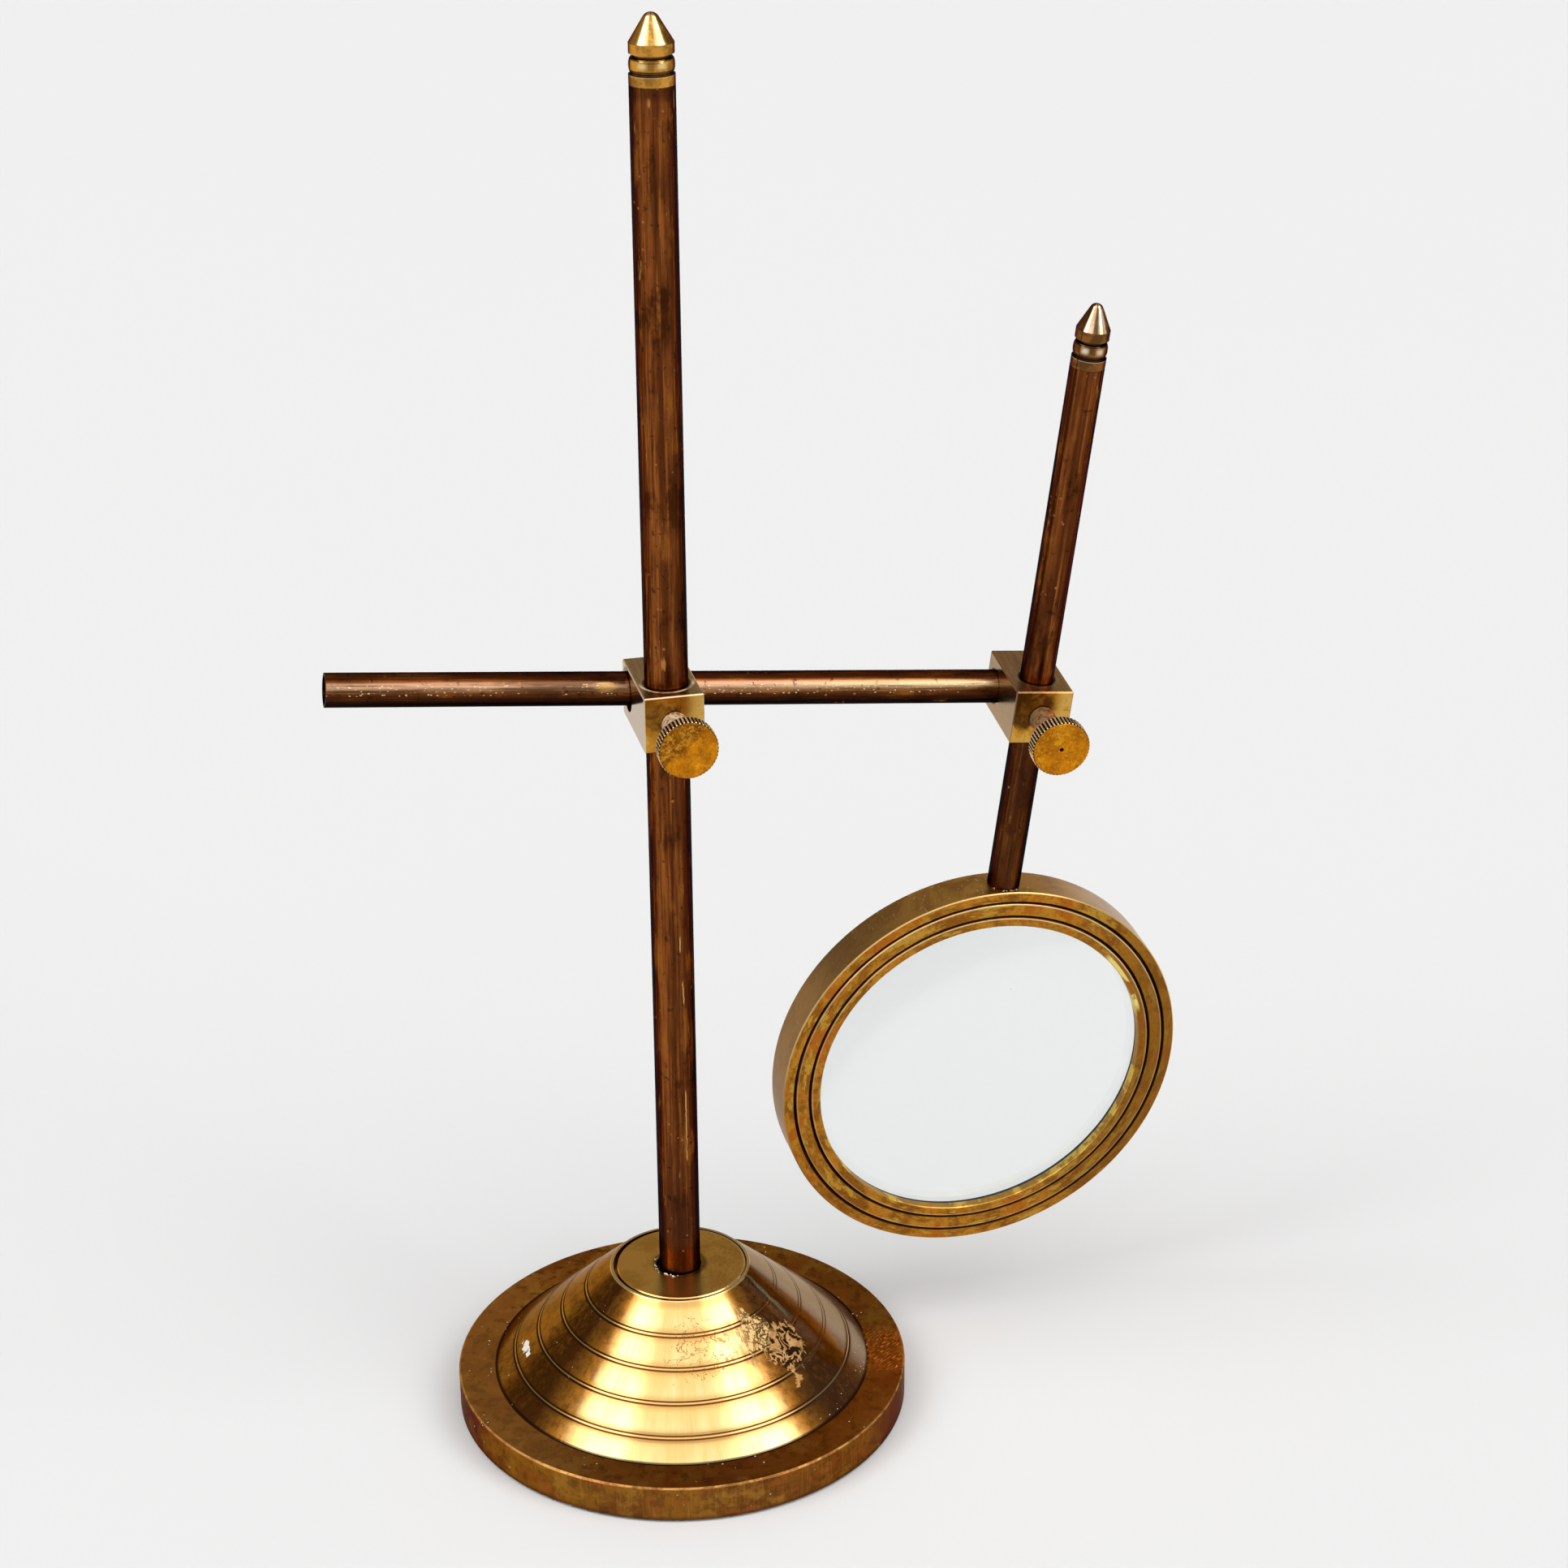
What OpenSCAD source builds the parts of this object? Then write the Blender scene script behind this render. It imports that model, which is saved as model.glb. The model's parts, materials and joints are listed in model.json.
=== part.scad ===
// Magnifying glass on a stand. A weighted round base carries an upright tube. A clamp block on the
// upright holds a cross rod, a second clamp block on the cross rod's end holds a hanging lens rod,
// and a large lens in a brass ring swivels on the foot of the lens rod.
// Millimetres, +Z up. The origin is on the post's axis, on the table under the felt.

/* [Base] */
// Diameter of the round base
base_d = 177; // [165:1:200]
// Height of the base rim above its felt
rim_h = 14.2; // [12:0.1:18]
// Thickness of the brass skin of the rim and the cone
skin = 2.4; // [1.8:0.1:3]
// Thickness of the felt under the base
felt_t = 1.2; // [0.8:0.1:2]
// How far the felt stays in from the edge of the rim
felt_inset = 1.5; // [0.5:0.1:4]
// Chamfer on the top edge of the rim
rim_chamfer = 0.7; // [0.3:0.1:1.2]
// Diameter of the cone at its foot
cone_foot_d = 147; // [135:1:150]
// Diameter of the cone at its top edge
cone_top_d = 54.4; // [53:0.2:60]
// Height of the cone above the rim
cone_h = 42.8; // [36:0.1:50]
// Number of double lines turned round the cone
line_count = 4; // [2:1:6]
// Depth of a turned line
line_depth = 0.35; // [0.2:0.05:0.6]
// Width of a turned line, up the slope
line_w = 0.6; // [0.4:0.05:0.8]
// Spacing of the two lines of a pair, up the slope
line_pair_gap = 1.4; // [1.2:0.1:2]
// Drop from the cone's top edge to the first pair of lines
line_first_drop = 9.3; // [7:0.1:11]
// Height of the lowest pair of lines above the rim
line_last_rise = 6.8; // [4:0.1:10]
// Diameter of the cap disc let into the cone's top
cap_d = 50.8; // [44:0.2:51]
// Thickness of the cap disc
cap_t = 3; // [2:0.1:4]
// Radial room round the cap disc in its recess
cap_play = 0.8; // [0.7:0.05:1]
// How far the loose cap has slipped to the right
cap_slip = 0.55; // [0:0.05:0.6]
// Radial room round the post in the cap's hole
cap_hole_play = 0.9; // [0.7:0.05:1.5]
// How far the cap's hole lies to the left of the post's axis
cap_hole_shift = 0.6; // [0:0.05:0.65]
// Diameter of the iron weight's upright boss, which holds the post's foot
boss_d = 40; // [30:1:44]
// Number of screws that hold the rim and the cone to the weight
base_screw_count = 4; // [3:1:6]
// Diameter of a base screw
base_screw_d = 3; // [2.5:0.5:4]

/* [Post] */
// Outside diameter of the post's tube
post_d = 16; // [14:0.1:18]
// Wall of the post's tube
post_wall = 1.5; // [1:0.1:2]
// Height of the post's top end, where its finial sits
post_top = 521.5; // [450:0.5:600]
// Height of the post's foot in the weight's socket
post_foot = 24; // [20:0.5:30]
// Length of the threaded plug in the post's foot
foot_plug_len = 20; // [14:1:30]
// Diameter of the stud that ties the post down
foot_stud_d = 8; // [6:0.5:9]

/* [Rods] */
// Outside diameter of the cross rod and the lens rod
rod_d = 12.7; // [10:0.1:13.4]
// Wall of the rods' tube
rod_wall = 1.2; // [0.8:0.1:1.6]
// Reach of the cross rod's open end to the left of the post
rod_left = 122.2; // [90:0.5:150]
// Distance along the cross rod from the post to the middle of the lens clamp block
rod_reach = 141.2; // [120:0.5:180]
// Angle by which the cross rod droops in its worn bore
rod_droop = 5.56; // [0:0.01:7]
// How far the cross rod's right end stays inside the lens clamp block
rod_end_inset = 1; // [0:0.1:3]
// Length of the lens rod above the cross rod, up to its finial
lens_rod_up = 135.2; // [90:0.5:180]
// Length of the lens rod below the cross rod, down to the lens ring
lens_rod_down = 78; // [60:0.5:110]
// Lean of the lens rod's top towards the viewer, about the cross rod
lens_lean = 5.44; // [-20:0.01:20]
// Turn of the lens ring about the lens rod
lens_turn = 3.38; // [-30:0.01:30]

/* [Clamp blocks] */
// Width and height of the square bar that the blocks are cut from
block_w = 22.2; // [20:0.1:26]
// Height of a block
block_h = 21.5; // [20:0.1:26]
// Chamfer on the edges of the blocks
block_chamfer = 0.5; // [0.2:0.1:1]
// Height of the post clamp block's middle on the post
post_block_z = 294; // [250:0.5:320]
// Metal in front of the upright bore in each block
block_front = 5.6; // [4.5:0.1:8]
// Metal between the post's bore and the cross rod's bore
post_web = 1.6; // [1:0.1:4]
// Metal behind the cross rod's bore in the post clamp block
post_block_back = 1.7; // [1.2:0.1:5]
// Metal between the two bores of the lens clamp block
lens_web = 1.4; // [1:0.1:4]
// Metal behind the cross rod's bore in the lens clamp block
lens_block_back = 2.4; // [1.2:0.1:5]
// How far the lock pin has pushed the cross rod back in that bore
rod_pushed_back = 0.55; // [0.2:0.05:0.8]
// Height of the cross rod's bore above the post clamp block's middle
cross_bore_rise = 1.35; // [0:0.05:1.5]

/* [Thumbscrews] */
// Diameter of the thumbscrews' thread
screw_d = 6; // [5:0.5:7]
// Diameter of a thumbscrew's plain neck
neck_d = 9.8; // [8:0.1:12]
// Diameter of a thumbscrew's knurled head
head_d = 22; // [18:0.1:26]
// Thickness of a thumbscrew's head
head_t = 6; // [4:0.1:8]
// Distance from a block's front face to the face of the head
head_reach = 25; // [15:0.1:30]
// Number of straight knurls round a head
knurl_count = 48; // [40:1:72]
// Depth of the knurling
knurl_depth = 0.5; // [0.3:0.05:0.6]
// Chamfer of the head's edges
head_chamfer = 0.6; // [0.3:0.1:1]
// Diameter of the lathe centre left in the lens clamp screw's face
centre_d = 1.5; // [1:0.1:2]
// Depth of that lathe centre
centre_depth = 2; // [1:0.1:3]
// Thickness of the soft pad at a screw's tip
pad_t = 1.4; // [1:0.1:2]
// Gap left between a thumbscrew's neck and its block when it is tight
neck_gap = 0.5; // [0.3:0.1:0.9]

/* [Finials] */
// Height of a finial's collar on its tube
collar_h = 3.7; // [3:0.1:5]
// Height of the fine line above the collar
fine_line_h = 0.5; // [0.4:0.1:0.8]
// Height of the rounded bead
bead_h = 5.2; // [4:0.1:7]
// Height of the deep groove above the bead
neck_groove_h = 1.3; // [1:0.1:2]
// Height of the plain band under the cone
band_h = 3.5; // [2.5:0.1:5]
// Depth of the deep groove
neck_groove_depth = 1.45; // [1:0.05:1.8]
// Half angle of the post finial's cone
post_cone_angle = 31.5; // [28:0.5:38]
// Half angle of the lens rod finial's cone
lens_cone_angle = 26; // [24:0.5:34]
// Radius of the post finial's round tip
post_tip_r = 3.2; // [2:0.1:3.6]
// Radius of the lens rod finial's round tip
lens_tip_r = 2.6; // [1.6:0.1:2.8]
// Length of a finial's spigot in its tube
spigot_len = 12; // [8:0.5:18]

/* [Lens] */
// Outside diameter of the lens ring
ring_d = 163.2; // [150:0.2:175]
// Depth of the lens ring, front to back
ring_t = 16.3; // [16:0.1:20]
// Wall of the lens ring round the glass
ring_wall = 4.6; // [4:0.1:6]
// Width of the grooved face, from the ring's edge to the opening
face_w = 15.1; // [13.6:0.1:17]
// Thickness of the retaining ring that holds the glass from the front
retainer_t = 3.4; // [3:0.1:3.6]
// Width of the two grooves in the face
face_groove_w = 1.3; // [0.8:0.1:1.6]
// Depth of the two grooves in the face
face_groove_depth = 0.9; // [0.5:0.1:1.2]
// Distance of the inner groove from the ring's edge
face_groove_in = 10.8; // [9:0.1:12]
// Width of the ledge behind the glass
ledge_w = 2.4; // [1.8:0.1:3]
// Radius of curvature of both faces of the glass
lens_curve_r = 450; // [440:5:800]
// Thickness of the glass at its edge
lens_edge_t = 3; // [2.6:0.1:3.2]
// Radial room round the glass in the ring
lens_play = 0.4; // [0.2:0.05:0.6]
// Width of the front gasket
gasket_w = 4.4; // [3:0.1:6]
// Thickness of the rear gasket
rear_gasket_t = 1; // [0.6:0.1:1.4]
// Diameter of the stud that joins the ring to the lens rod
ring_stud_d = 6; // [4:0.5:6]
// Length of the stud inside the lens rod's plug
ring_stud_len = 10; // [8:0.5:12]
// Length of the plug in the lens rod's foot
rod_plug_len = 14; // [13.5:0.5:20]
// Chamfer on the outer edges of the ring
ring_chamfer = 0.4; // [0.2:0.1:0.8]

/* [Fits] */
// Radial running clearance of a tube, a screw or a pin in its bore
run_gap = 0.06; // [0.03:0.01:0.1]
// Gap between faces that bear on each other but move
face_gap = 0.05; // [0.02:0.01:0.1]

/* [Hidden] */
$fn = 96;
brass = "darkgoldenrod";
gold = "goldenrod";
copper = "saddlebrown";
over = 1;

// Base heights and radii
base_r = base_d / 2;
rim_top = felt_t + rim_h;
cone_top = rim_top + cone_h;
cone_foot_r = cone_foot_d / 2;
cone_top_r = cone_top_d / 2;
cone_slope = (cone_foot_r - cone_top_r) / cone_h;
cone_skin_r = skin * sqrt(1 + cone_slope * cone_slope);
function cone_r(z) = cone_foot_r - (z - rim_top) * cone_slope;
foot_flange_h = 5;
foot_flange_w = 11.5;
flange_seat = foot_flange_w - 1.5;
cap_recess_r = cap_d / 2 + cap_play;
cap_ledge_w = 2.6;
cap_ledge_t = 2;
cap_seat = cone_top - cap_t;
weight_r = base_r - skin - 0.4;
boss_top = cap_seat - 0.3;
base_screw_circle = cone_foot_r - 6;
base_screw_bite = 3.6;
base_screw_start = felt_t + 0.3;
base_screw_sink = 0.6 * base_screw_d;

// Post heights and radii
post_r = post_d / 2;
post_bore_r = post_r + run_gap;
post_in_r = post_r - post_wall;
washer_t = 1.6;
nut_h = 0.8 * foot_stud_d;
nut_flats = 1.63 * foot_stud_d;
washer_r = 1.25 * foot_stud_d;
nut_pocket_top = felt_t + 2.8 + nut_h + washer_t;
nut_pocket_r = washer_r + 2;

// Cross rod and clamp blocks, seen from the upright bore's axis
rod_r = rod_d / 2;
rod_bore_r = rod_r + run_gap;
rod_in_r = rod_r - rod_wall;
cross_bore_r = rod_r / cos(rod_droop) + norm([rod_pushed_back, block_w / 2 * tan(rod_droop)]) + run_gap;
cross_bore_y = post_bore_r + post_web + cross_bore_r;
rod_y = cross_bore_y + rod_pushed_back;
rod_z = post_block_z + cross_bore_rise;
post_block_front = post_bore_r + block_front;
post_block_rear = cross_bore_y + cross_bore_r + post_block_back;
lens_rod_y = 2 * rod_bore_r + lens_web;
lens_block_front = rod_bore_r + block_front;
lens_block_rear = lens_rod_y + rod_bore_r + lens_block_back;
rod_right = rod_reach + block_w / 2 - rod_end_inset;

// Thumbscrews and the pins that pass their push on
screw_hole_r = screw_d / 2 + run_gap;
pin_r = screw_d / 2 - 0.04;

// Lens ring, seen from the centre of the glass
ring_r = ring_d / 2;
ring_in_r = ring_r - ring_wall;
opening_r = ring_r - face_w;
retainer_r = ring_in_r - 0.1;
ring_front = -ring_t / 2;
retainer_back = ring_front + retainer_t;
lens_r = ring_in_r - lens_play;
function lens_sag(r) = lens_curve_r - sqrt(lens_curve_r * lens_curve_r - r * r);
lens_half_t = lens_edge_t / 2 + lens_sag(lens_r);
function lens_face(r) = lens_half_t - lens_sag(r);
lens_steps = 24;
ledge_r = ring_in_r - ledge_w;
gasket_in_r = opening_r + 0.3;
front_gasket_back = -lens_face(gasket_in_r) - 0.1;
rear_gasket_r = ledge_r + 0.1;
rear_gasket_front = lens_face(rear_gasket_r) + 0.1;
ledge_front = rear_gasket_front + rear_gasket_t;
ring_stud_foot = ring_in_r + 0.5;

// Places of the moving groups
module at_cross_rod() { translate([0, rod_y, rod_z]) rotate([0, rod_droop, 0]) children(); }
module at_lens_rod() {
    at_cross_rod() translate([rod_reach, 0, 0]) rotate([lens_lean, 0, 0])
        translate([0, -lens_rod_y, 0]) children();
}
module at_ring() {
    at_lens_rod() translate([0, 0, -lens_rod_down - ring_r]) rotate([0, 0, lens_turn]) children();
}

// A cylinder along Y from y0 to y1
module bar_y(r, y0, y1) { translate([0, y1, 0]) rotate([90, 0, 0]) cylinder(r = r, h = y1 - y0); }

// A ring about Y turned from a profile whose points are [radius, y]
module turned_y(points) { rotate([90, 0, 0]) rotate_extrude() polygon([for (p = points) [p[0], -p[1]]]); }

// A tube along Z with open ends
module tube(outer_r, inner_r, z0, z1) {
    difference() {
        translate([0, 0, z0]) cylinder(r = outer_r, h = z1 - z0);
        translate([0, 0, z0 - over]) cylinder(r = inner_r, h = z1 - z0 + 2 * over);
    }
}

// Base

// The cone's outline up its slope, with a pair of shallow V lines at each groove
line_half_z = line_w / 2 / sqrt(1 + cone_slope * cone_slope);
pair_half_z = line_pair_gap / 2 / sqrt(1 + cone_slope * cone_slope);
function line_points(z) = [
    [cone_r(z - line_half_z), z - line_half_z],
    [cone_r(z) - line_depth, z],
    [cone_r(z + line_half_z), z + line_half_z]
];
line_pitch = (cone_h - line_first_drop - line_last_rise) / (line_count - 1);
line_heights = [
    for (i = [0 : line_count - 1])
        for (side = [-1, 1])
            rim_top + line_last_rise + i * line_pitch + side * pair_half_z
];

module base_felt() {
    color("darkgreen") cylinder(r = base_r - felt_inset, h = felt_t);
}

module base_rim() {
    color(brass) difference() {
        translate([0, 0, felt_t]) rotate_extrude() polygon([
            [0, 0], [base_r, 0], [base_r, rim_h - rim_chamfer], [base_r - rim_chamfer, rim_h], [0, rim_h]
        ]);
        translate([0, 0, felt_t - over]) cylinder(r = base_r - skin, h = rim_h - skin + over);
        cylinder(r = cone_foot_r - flange_seat, h = rim_top + over);
        at_base_screws() cylinder(r = base_screw_d / 2 + 0.2, h = rim_top + over);
    }
}

module at_base_screws() {
    for (i = [0 : base_screw_count - 1])
        rotate([0, 0, 45 + i * 360 / base_screw_count]) translate([base_screw_circle, 0, 0]) children();
}

module base_cone() {
    flange_in_r = cone_foot_r - foot_flange_w;
    under_cap = cap_seat - cap_ledge_t;
    color(gold) difference() {
        rotate_extrude() polygon(concat(
            [[flange_in_r, rim_top], [cone_foot_r, rim_top]],
            [for (z = line_heights) each line_points(z)],
            [
                [cone_top_r, cone_top],
                [cap_recess_r, cone_top],
                [cap_recess_r, cap_seat],
                [cap_recess_r - cap_ledge_w, cap_seat],
                [cap_recess_r - cap_ledge_w, under_cap],
                [cone_r(under_cap) - cone_skin_r, under_cap],
                [cone_r(rim_top + foot_flange_h) - cone_skin_r, rim_top + foot_flange_h],
                [flange_in_r, rim_top + foot_flange_h]
            ]
        ));
        at_base_screws() cylinder(r = base_screw_d / 2 + run_gap, h = rim_top + base_screw_bite + 0.2);
    }
}

module base_cap() {
    edge = 0.4;
    color(brass) difference() {
        translate([cap_slip, 0, cap_seat]) {
            cylinder(r = cap_d / 2, h = cap_t - edge);
            translate([0, 0, cap_t - edge]) cylinder(r1 = cap_d / 2, r2 = cap_d / 2 - edge, h = edge);
        }
        translate([-cap_hole_shift, 0, cap_seat - over]) cylinder(r = post_r + cap_hole_play, h = cap_t + 2 * over);
    }
}

module base_weight() {
    disc_top = rim_top - skin;
    color("dimgray") difference() {
        rotate_extrude() polygon([
            [0, felt_t], [weight_r, felt_t], [weight_r, disc_top],
            [boss_d / 2, disc_top], [boss_d / 2, boss_top], [0, boss_top]
        ]);
        translate([0, 0, post_foot]) cylinder(r = post_bore_r, h = boss_top);
        cylinder(r = foot_stud_d / 2 + run_gap, h = boss_top);
        cylinder(r = nut_pocket_r, h = nut_pocket_top);
        at_base_screws() {
            cylinder(r = base_screw_d / 2 + 0.2, h = rim_top);
            cylinder(r = base_screw_d + 0.2, h = base_screw_start + base_screw_sink);
        }
    }
}

module base_screws() {
    color("silver") at_base_screws() {
        translate([0, 0, base_screw_start]) cylinder(r = base_screw_d, h = base_screw_sink);
        translate([0, 0, base_screw_start])
            cylinder(r = base_screw_d / 2, h = rim_top + base_screw_bite - base_screw_start);
    }
}

// Post

module post_tube() { color(copper) tube(post_r, post_in_r, post_foot, post_top); }

module post_foot_plug() {
    color(brass) tube(post_in_r - face_gap, foot_stud_d / 2 + face_gap, post_foot, post_foot + foot_plug_len);
}

module post_foot_stud() {
    color("silver") translate([0, 0, felt_t + 1.5])
        cylinder(r = foot_stud_d / 2, h = post_foot + foot_plug_len - 3 - felt_t - 1.5);
}

module post_foot_washer() {
    color("silver") tube(washer_r, foot_stud_d / 2 + 0.2, nut_pocket_top - washer_t, nut_pocket_top);
}

module post_foot_nut() {
    nut_top = nut_pocket_top - washer_t;
    color("silver") difference() {
        translate([0, 0, nut_top - nut_h]) cylinder(r = nut_flats / 2 / cos(30), h = nut_h, $fn = 6);
        translate([0, 0, nut_top - nut_h - over])
            cylinder(r = foot_stud_d / 2 + face_gap, h = nut_h + 2 * over);
    }
}

// Points of a bead's bulge from z0 to z1, standing out by sag from radius r
function bead_points(r, sag, z0, z1) = [
    for (i = [0 : 12])
        let (a = 180 * i / 12)
        [r + sag * sin(a), (z0 + z1) / 2 - (z1 - z0) / 2 * cos(a)]
];

// Points of a round tip of radius r, on a cone of the given half angle with its apex at height z
function tip_points(r, angle, apex) = [
    for (i = [0 : 8])
        let (a = angle + (90 - angle) * i / 8)
        [r * cos(a), apex - r / sin(angle) + r * sin(a)]
];

module finial(outer_r, spigot_r, angle, tip_r) {
    line_z = collar_h + fine_line_h;
    bead_top = line_z + bead_h;
    groove_top = bead_top + neck_groove_h;
    band_top = groove_top + band_h;
    band_r = outer_r - 0.15;
    rotate_extrude() polygon(concat(
        [
            [0, -spigot_len], [spigot_r, -spigot_len], [spigot_r, 0],
            [outer_r, 0], [outer_r, collar_h], [outer_r - 0.5, collar_h], [outer_r - 0.5, line_z]
        ],
        bead_points(outer_r - 0.9, 0.82, line_z, bead_top),
        [
            [outer_r - neck_groove_depth, bead_top], [outer_r - neck_groove_depth, groove_top],
            [band_r, groove_top], [band_r, band_top]
        ],
        tip_points(tip_r, angle, band_top + band_r / tan(angle))
    ));
}

module post_finial() {
    color(gold) translate([0, 0, post_top])
        finial(post_r, post_in_r - face_gap, post_cone_angle, post_tip_r);
}

// Clamp blocks and thumbscrews

// A bar of the blocks' section with all edges chamfered, from y = -front to y = rear
module chamfered_bar(front, rear) {
    c = block_chamfer;
    intersection() {
        translate([0, rear, 0]) rotate([90, 0, 0]) linear_extrude(front + rear)
            chamfered_rectangle([-block_w / 2, -block_h / 2], [block_w / 2, block_h / 2], c);
        translate([0, 0, -block_h]) linear_extrude(2 * block_h)
            chamfered_rectangle([-block_w / 2, -front], [block_w / 2, rear], c);
        translate([-block_w, 0, 0]) rotate([90, 0, 90]) linear_extrude(2 * block_w)
            chamfered_rectangle([-front, -block_h / 2], [rear, block_h / 2], c);
    }
}

module chamfered_rectangle(low, high, c) {
    polygon([
        [low[0] + c, low[1]], [high[0] - c, low[1]], [high[0], low[1] + c], [high[0], high[1] - c],
        [high[0] - c, high[1]], [low[0] + c, high[1]], [low[0], high[1] - c], [low[0], low[1] + c]
    ]);
}

module post_clamp_block() {
    color(brass) translate([0, 0, post_block_z]) difference() {
        chamfered_bar(post_block_front, post_block_rear);
        translate([0, 0, -block_h]) cylinder(r = post_bore_r, h = 2 * block_h);
        translate([-block_w, cross_bore_y, cross_bore_rise]) rotate([0, 90, 0])
            cylinder(r = cross_bore_r, h = 2 * block_w);
        bar_y(screw_hole_r, -post_block_front - over, cross_bore_y);
    }
}

module lens_clamp_block() {
    color(brass) at_lens_rod() difference() {
        chamfered_bar(lens_block_front, lens_block_rear);
        translate([0, 0, -block_h]) cylinder(r = rod_bore_r, h = 2 * block_h);
        translate([-block_w, lens_rod_y, 0]) rotate([0, 90, 0]) cylinder(r = rod_bore_r, h = 2 * block_w);
        bar_y(screw_hole_r, -lens_block_front - over, lens_rod_y);
    }
}

// The pin between the upright tube and the cross rod passes the screw's push to both
module post_lock_pin() {
    color(brass) translate([0, 0, post_block_z])
        bar_y(pin_r, post_r + face_gap, rod_y - rod_r - face_gap);
}

module lens_lock_pin() {
    color(brass) at_lens_rod() bar_y(pin_r, rod_r + face_gap, lens_rod_y - rod_r - face_gap);
}

module clamp_pad(upright_r) {
    bar_y(pin_r, -upright_r - face_gap - pad_t, -upright_r - face_gap);
}

module knurled_head() {
    step = 360 / knurl_count;
    intersection() {
        linear_extrude(head_t) polygon([
            for (i = [0 : knurl_count - 1])
                for (k = [0, 1])
                    (head_d / 2 - k * knurl_depth) * [cos((i + k / 2) * step), sin((i + k / 2) * step)]
        ]);
        rotate_extrude() polygon([
            [0, 0], [head_d / 2 - head_chamfer, 0], [head_d / 2 + 0.01, head_chamfer],
            [head_d / 2 + 0.01, head_t - head_chamfer], [head_d / 2 - head_chamfer, head_t], [0, head_t]
        ]);
    }
}

// A thumbscrew in front of an upright of radius upright_r, in a block whose front face is at -front
module thumbscrew(upright_r, front) {
    tip = -upright_r - 2 * face_gap - pad_t;
    shoulder = -front - neck_gap;
    head_back = -front - head_reach + head_t;
    bar_y(screw_d / 2, shoulder - over, tip);
    bar_y(neck_d / 2, head_back - over, shoulder);
    translate([0, head_back, 0]) rotate([90, 0, 0]) knurled_head();
}

module post_clamp_pad() { color("peru") translate([0, 0, post_block_z]) clamp_pad(post_r); }

module post_thumbscrew() {
    color(gold) translate([0, 0, post_block_z]) thumbscrew(post_r, post_block_front);
}

module lens_clamp_pad() { color("peru") at_lens_rod() clamp_pad(rod_r); }

module lens_thumbscrew() {
    face = -lens_block_front - head_reach;
    color(gold) at_lens_rod() difference() {
        thumbscrew(rod_r, lens_block_front);
        bar_y(centre_d / 2, face - over, face + centre_depth);
    }
}

// Rods

module cross_rod() { color(copper) at_cross_rod() rotate([0, 90, 0]) tube(rod_r, rod_in_r, -rod_left, rod_right); }

module lens_rod() {
    color(copper) at_lens_rod() tube(rod_r, rod_in_r, -lens_rod_down + face_gap, lens_rod_up);
}

module lens_rod_finial() {
    color(gold) at_lens_rod() translate([0, 0, lens_rod_up])
        finial(rod_r, rod_in_r - face_gap, lens_cone_angle, lens_tip_r);
}

module lens_rod_plug() {
    foot = -lens_rod_down + 2 * face_gap;
    color(brass) at_lens_rod() difference() {
        translate([0, 0, foot]) cylinder(r = rod_in_r - face_gap, h = rod_plug_len);
        translate([0, 0, foot - over]) cylinder(r = ring_stud_d / 2 + run_gap, h = over + ring_stud_len + 1.5);
    }
}

// Lens ring, glass and what holds it

module lens_ring() {
    groove = face_groove_w / 2;
    back = ring_t / 2;
    color(gold) at_ring() difference() {
        turned_y([
            [ring_in_r + groove, ring_front], [ring_r - ring_chamfer, ring_front],
            [ring_r, ring_front + ring_chamfer], [ring_r, back - ring_chamfer],
            [ring_r - ring_chamfer, back], [ledge_r, back], [ledge_r, ledge_front],
            [ring_in_r, ledge_front], [ring_in_r, ring_front + face_groove_depth]
        ]);
        translate([0, 0, ring_in_r - over]) cylinder(r = ring_stud_d / 2 + face_gap, h = ring_wall + 2 * over);
    }
}

module lens_retaining_ring() {
    groove = face_groove_w / 2;
    groove_r = ring_r - face_groove_in;
    color(gold) at_ring() turned_y([
        [opening_r, ring_front + 0.3], [opening_r + 0.3, ring_front],
        [groove_r - groove, ring_front], [groove_r, ring_front + face_groove_depth],
        [groove_r + groove, ring_front], [retainer_r - groove, ring_front],
        [retainer_r, ring_front + face_groove_depth], [retainer_r, retainer_back], [opening_r, retainer_back]
    ]);
}

module lens_front_gasket() {
    color("darkslategray") at_ring() turned_y([
        [gasket_in_r, retainer_back], [gasket_in_r + gasket_w, retainer_back],
        [gasket_in_r + gasket_w, front_gasket_back], [gasket_in_r, front_gasket_back]
    ]);
}

module lens_rear_gasket() {
    color("darkslategray") at_ring() turned_y([
        [rear_gasket_r, rear_gasket_front], [ring_in_r - 0.1, rear_gasket_front],
        [ring_in_r - 0.1, ledge_front], [rear_gasket_r, ledge_front]
    ]);
}

module lens_glass() {
    radii = [for (i = [1 : lens_steps]) lens_r * i / lens_steps];
    color("lightcyan", 0.35) at_ring() turned_y(concat(
        [[0, -lens_half_t]],
        [for (r = radii) [r, -lens_face(r)]],
        [for (i = [lens_steps - 1 : -1 : 0]) [radii[i], lens_face(radii[i])]],
        [[0, lens_half_t]]
    ));
}

module lens_ring_stud() {
    color("silver") at_ring() translate([0, 0, ring_stud_foot])
        cylinder(r = ring_stud_d / 2, h = ring_r + ring_stud_len - ring_stud_foot);
}

base_felt();
base_rim();
base_cone();
base_cap();
base_weight();
base_screws();
post_tube();
post_finial();
post_foot_plug();
post_foot_stud();
post_foot_washer();
post_foot_nut();
post_clamp_block();
post_lock_pin();
post_clamp_pad();
post_thumbscrew();
cross_rod();
lens_clamp_block();
lens_lock_pin();
lens_clamp_pad();
lens_thumbscrew();
lens_rod();
lens_rod_finial();
lens_rod_plug();
lens_ring();
lens_retaining_ring();
lens_front_gasket();
lens_rear_gasket();
lens_glass();
lens_ring_stud();
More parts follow.
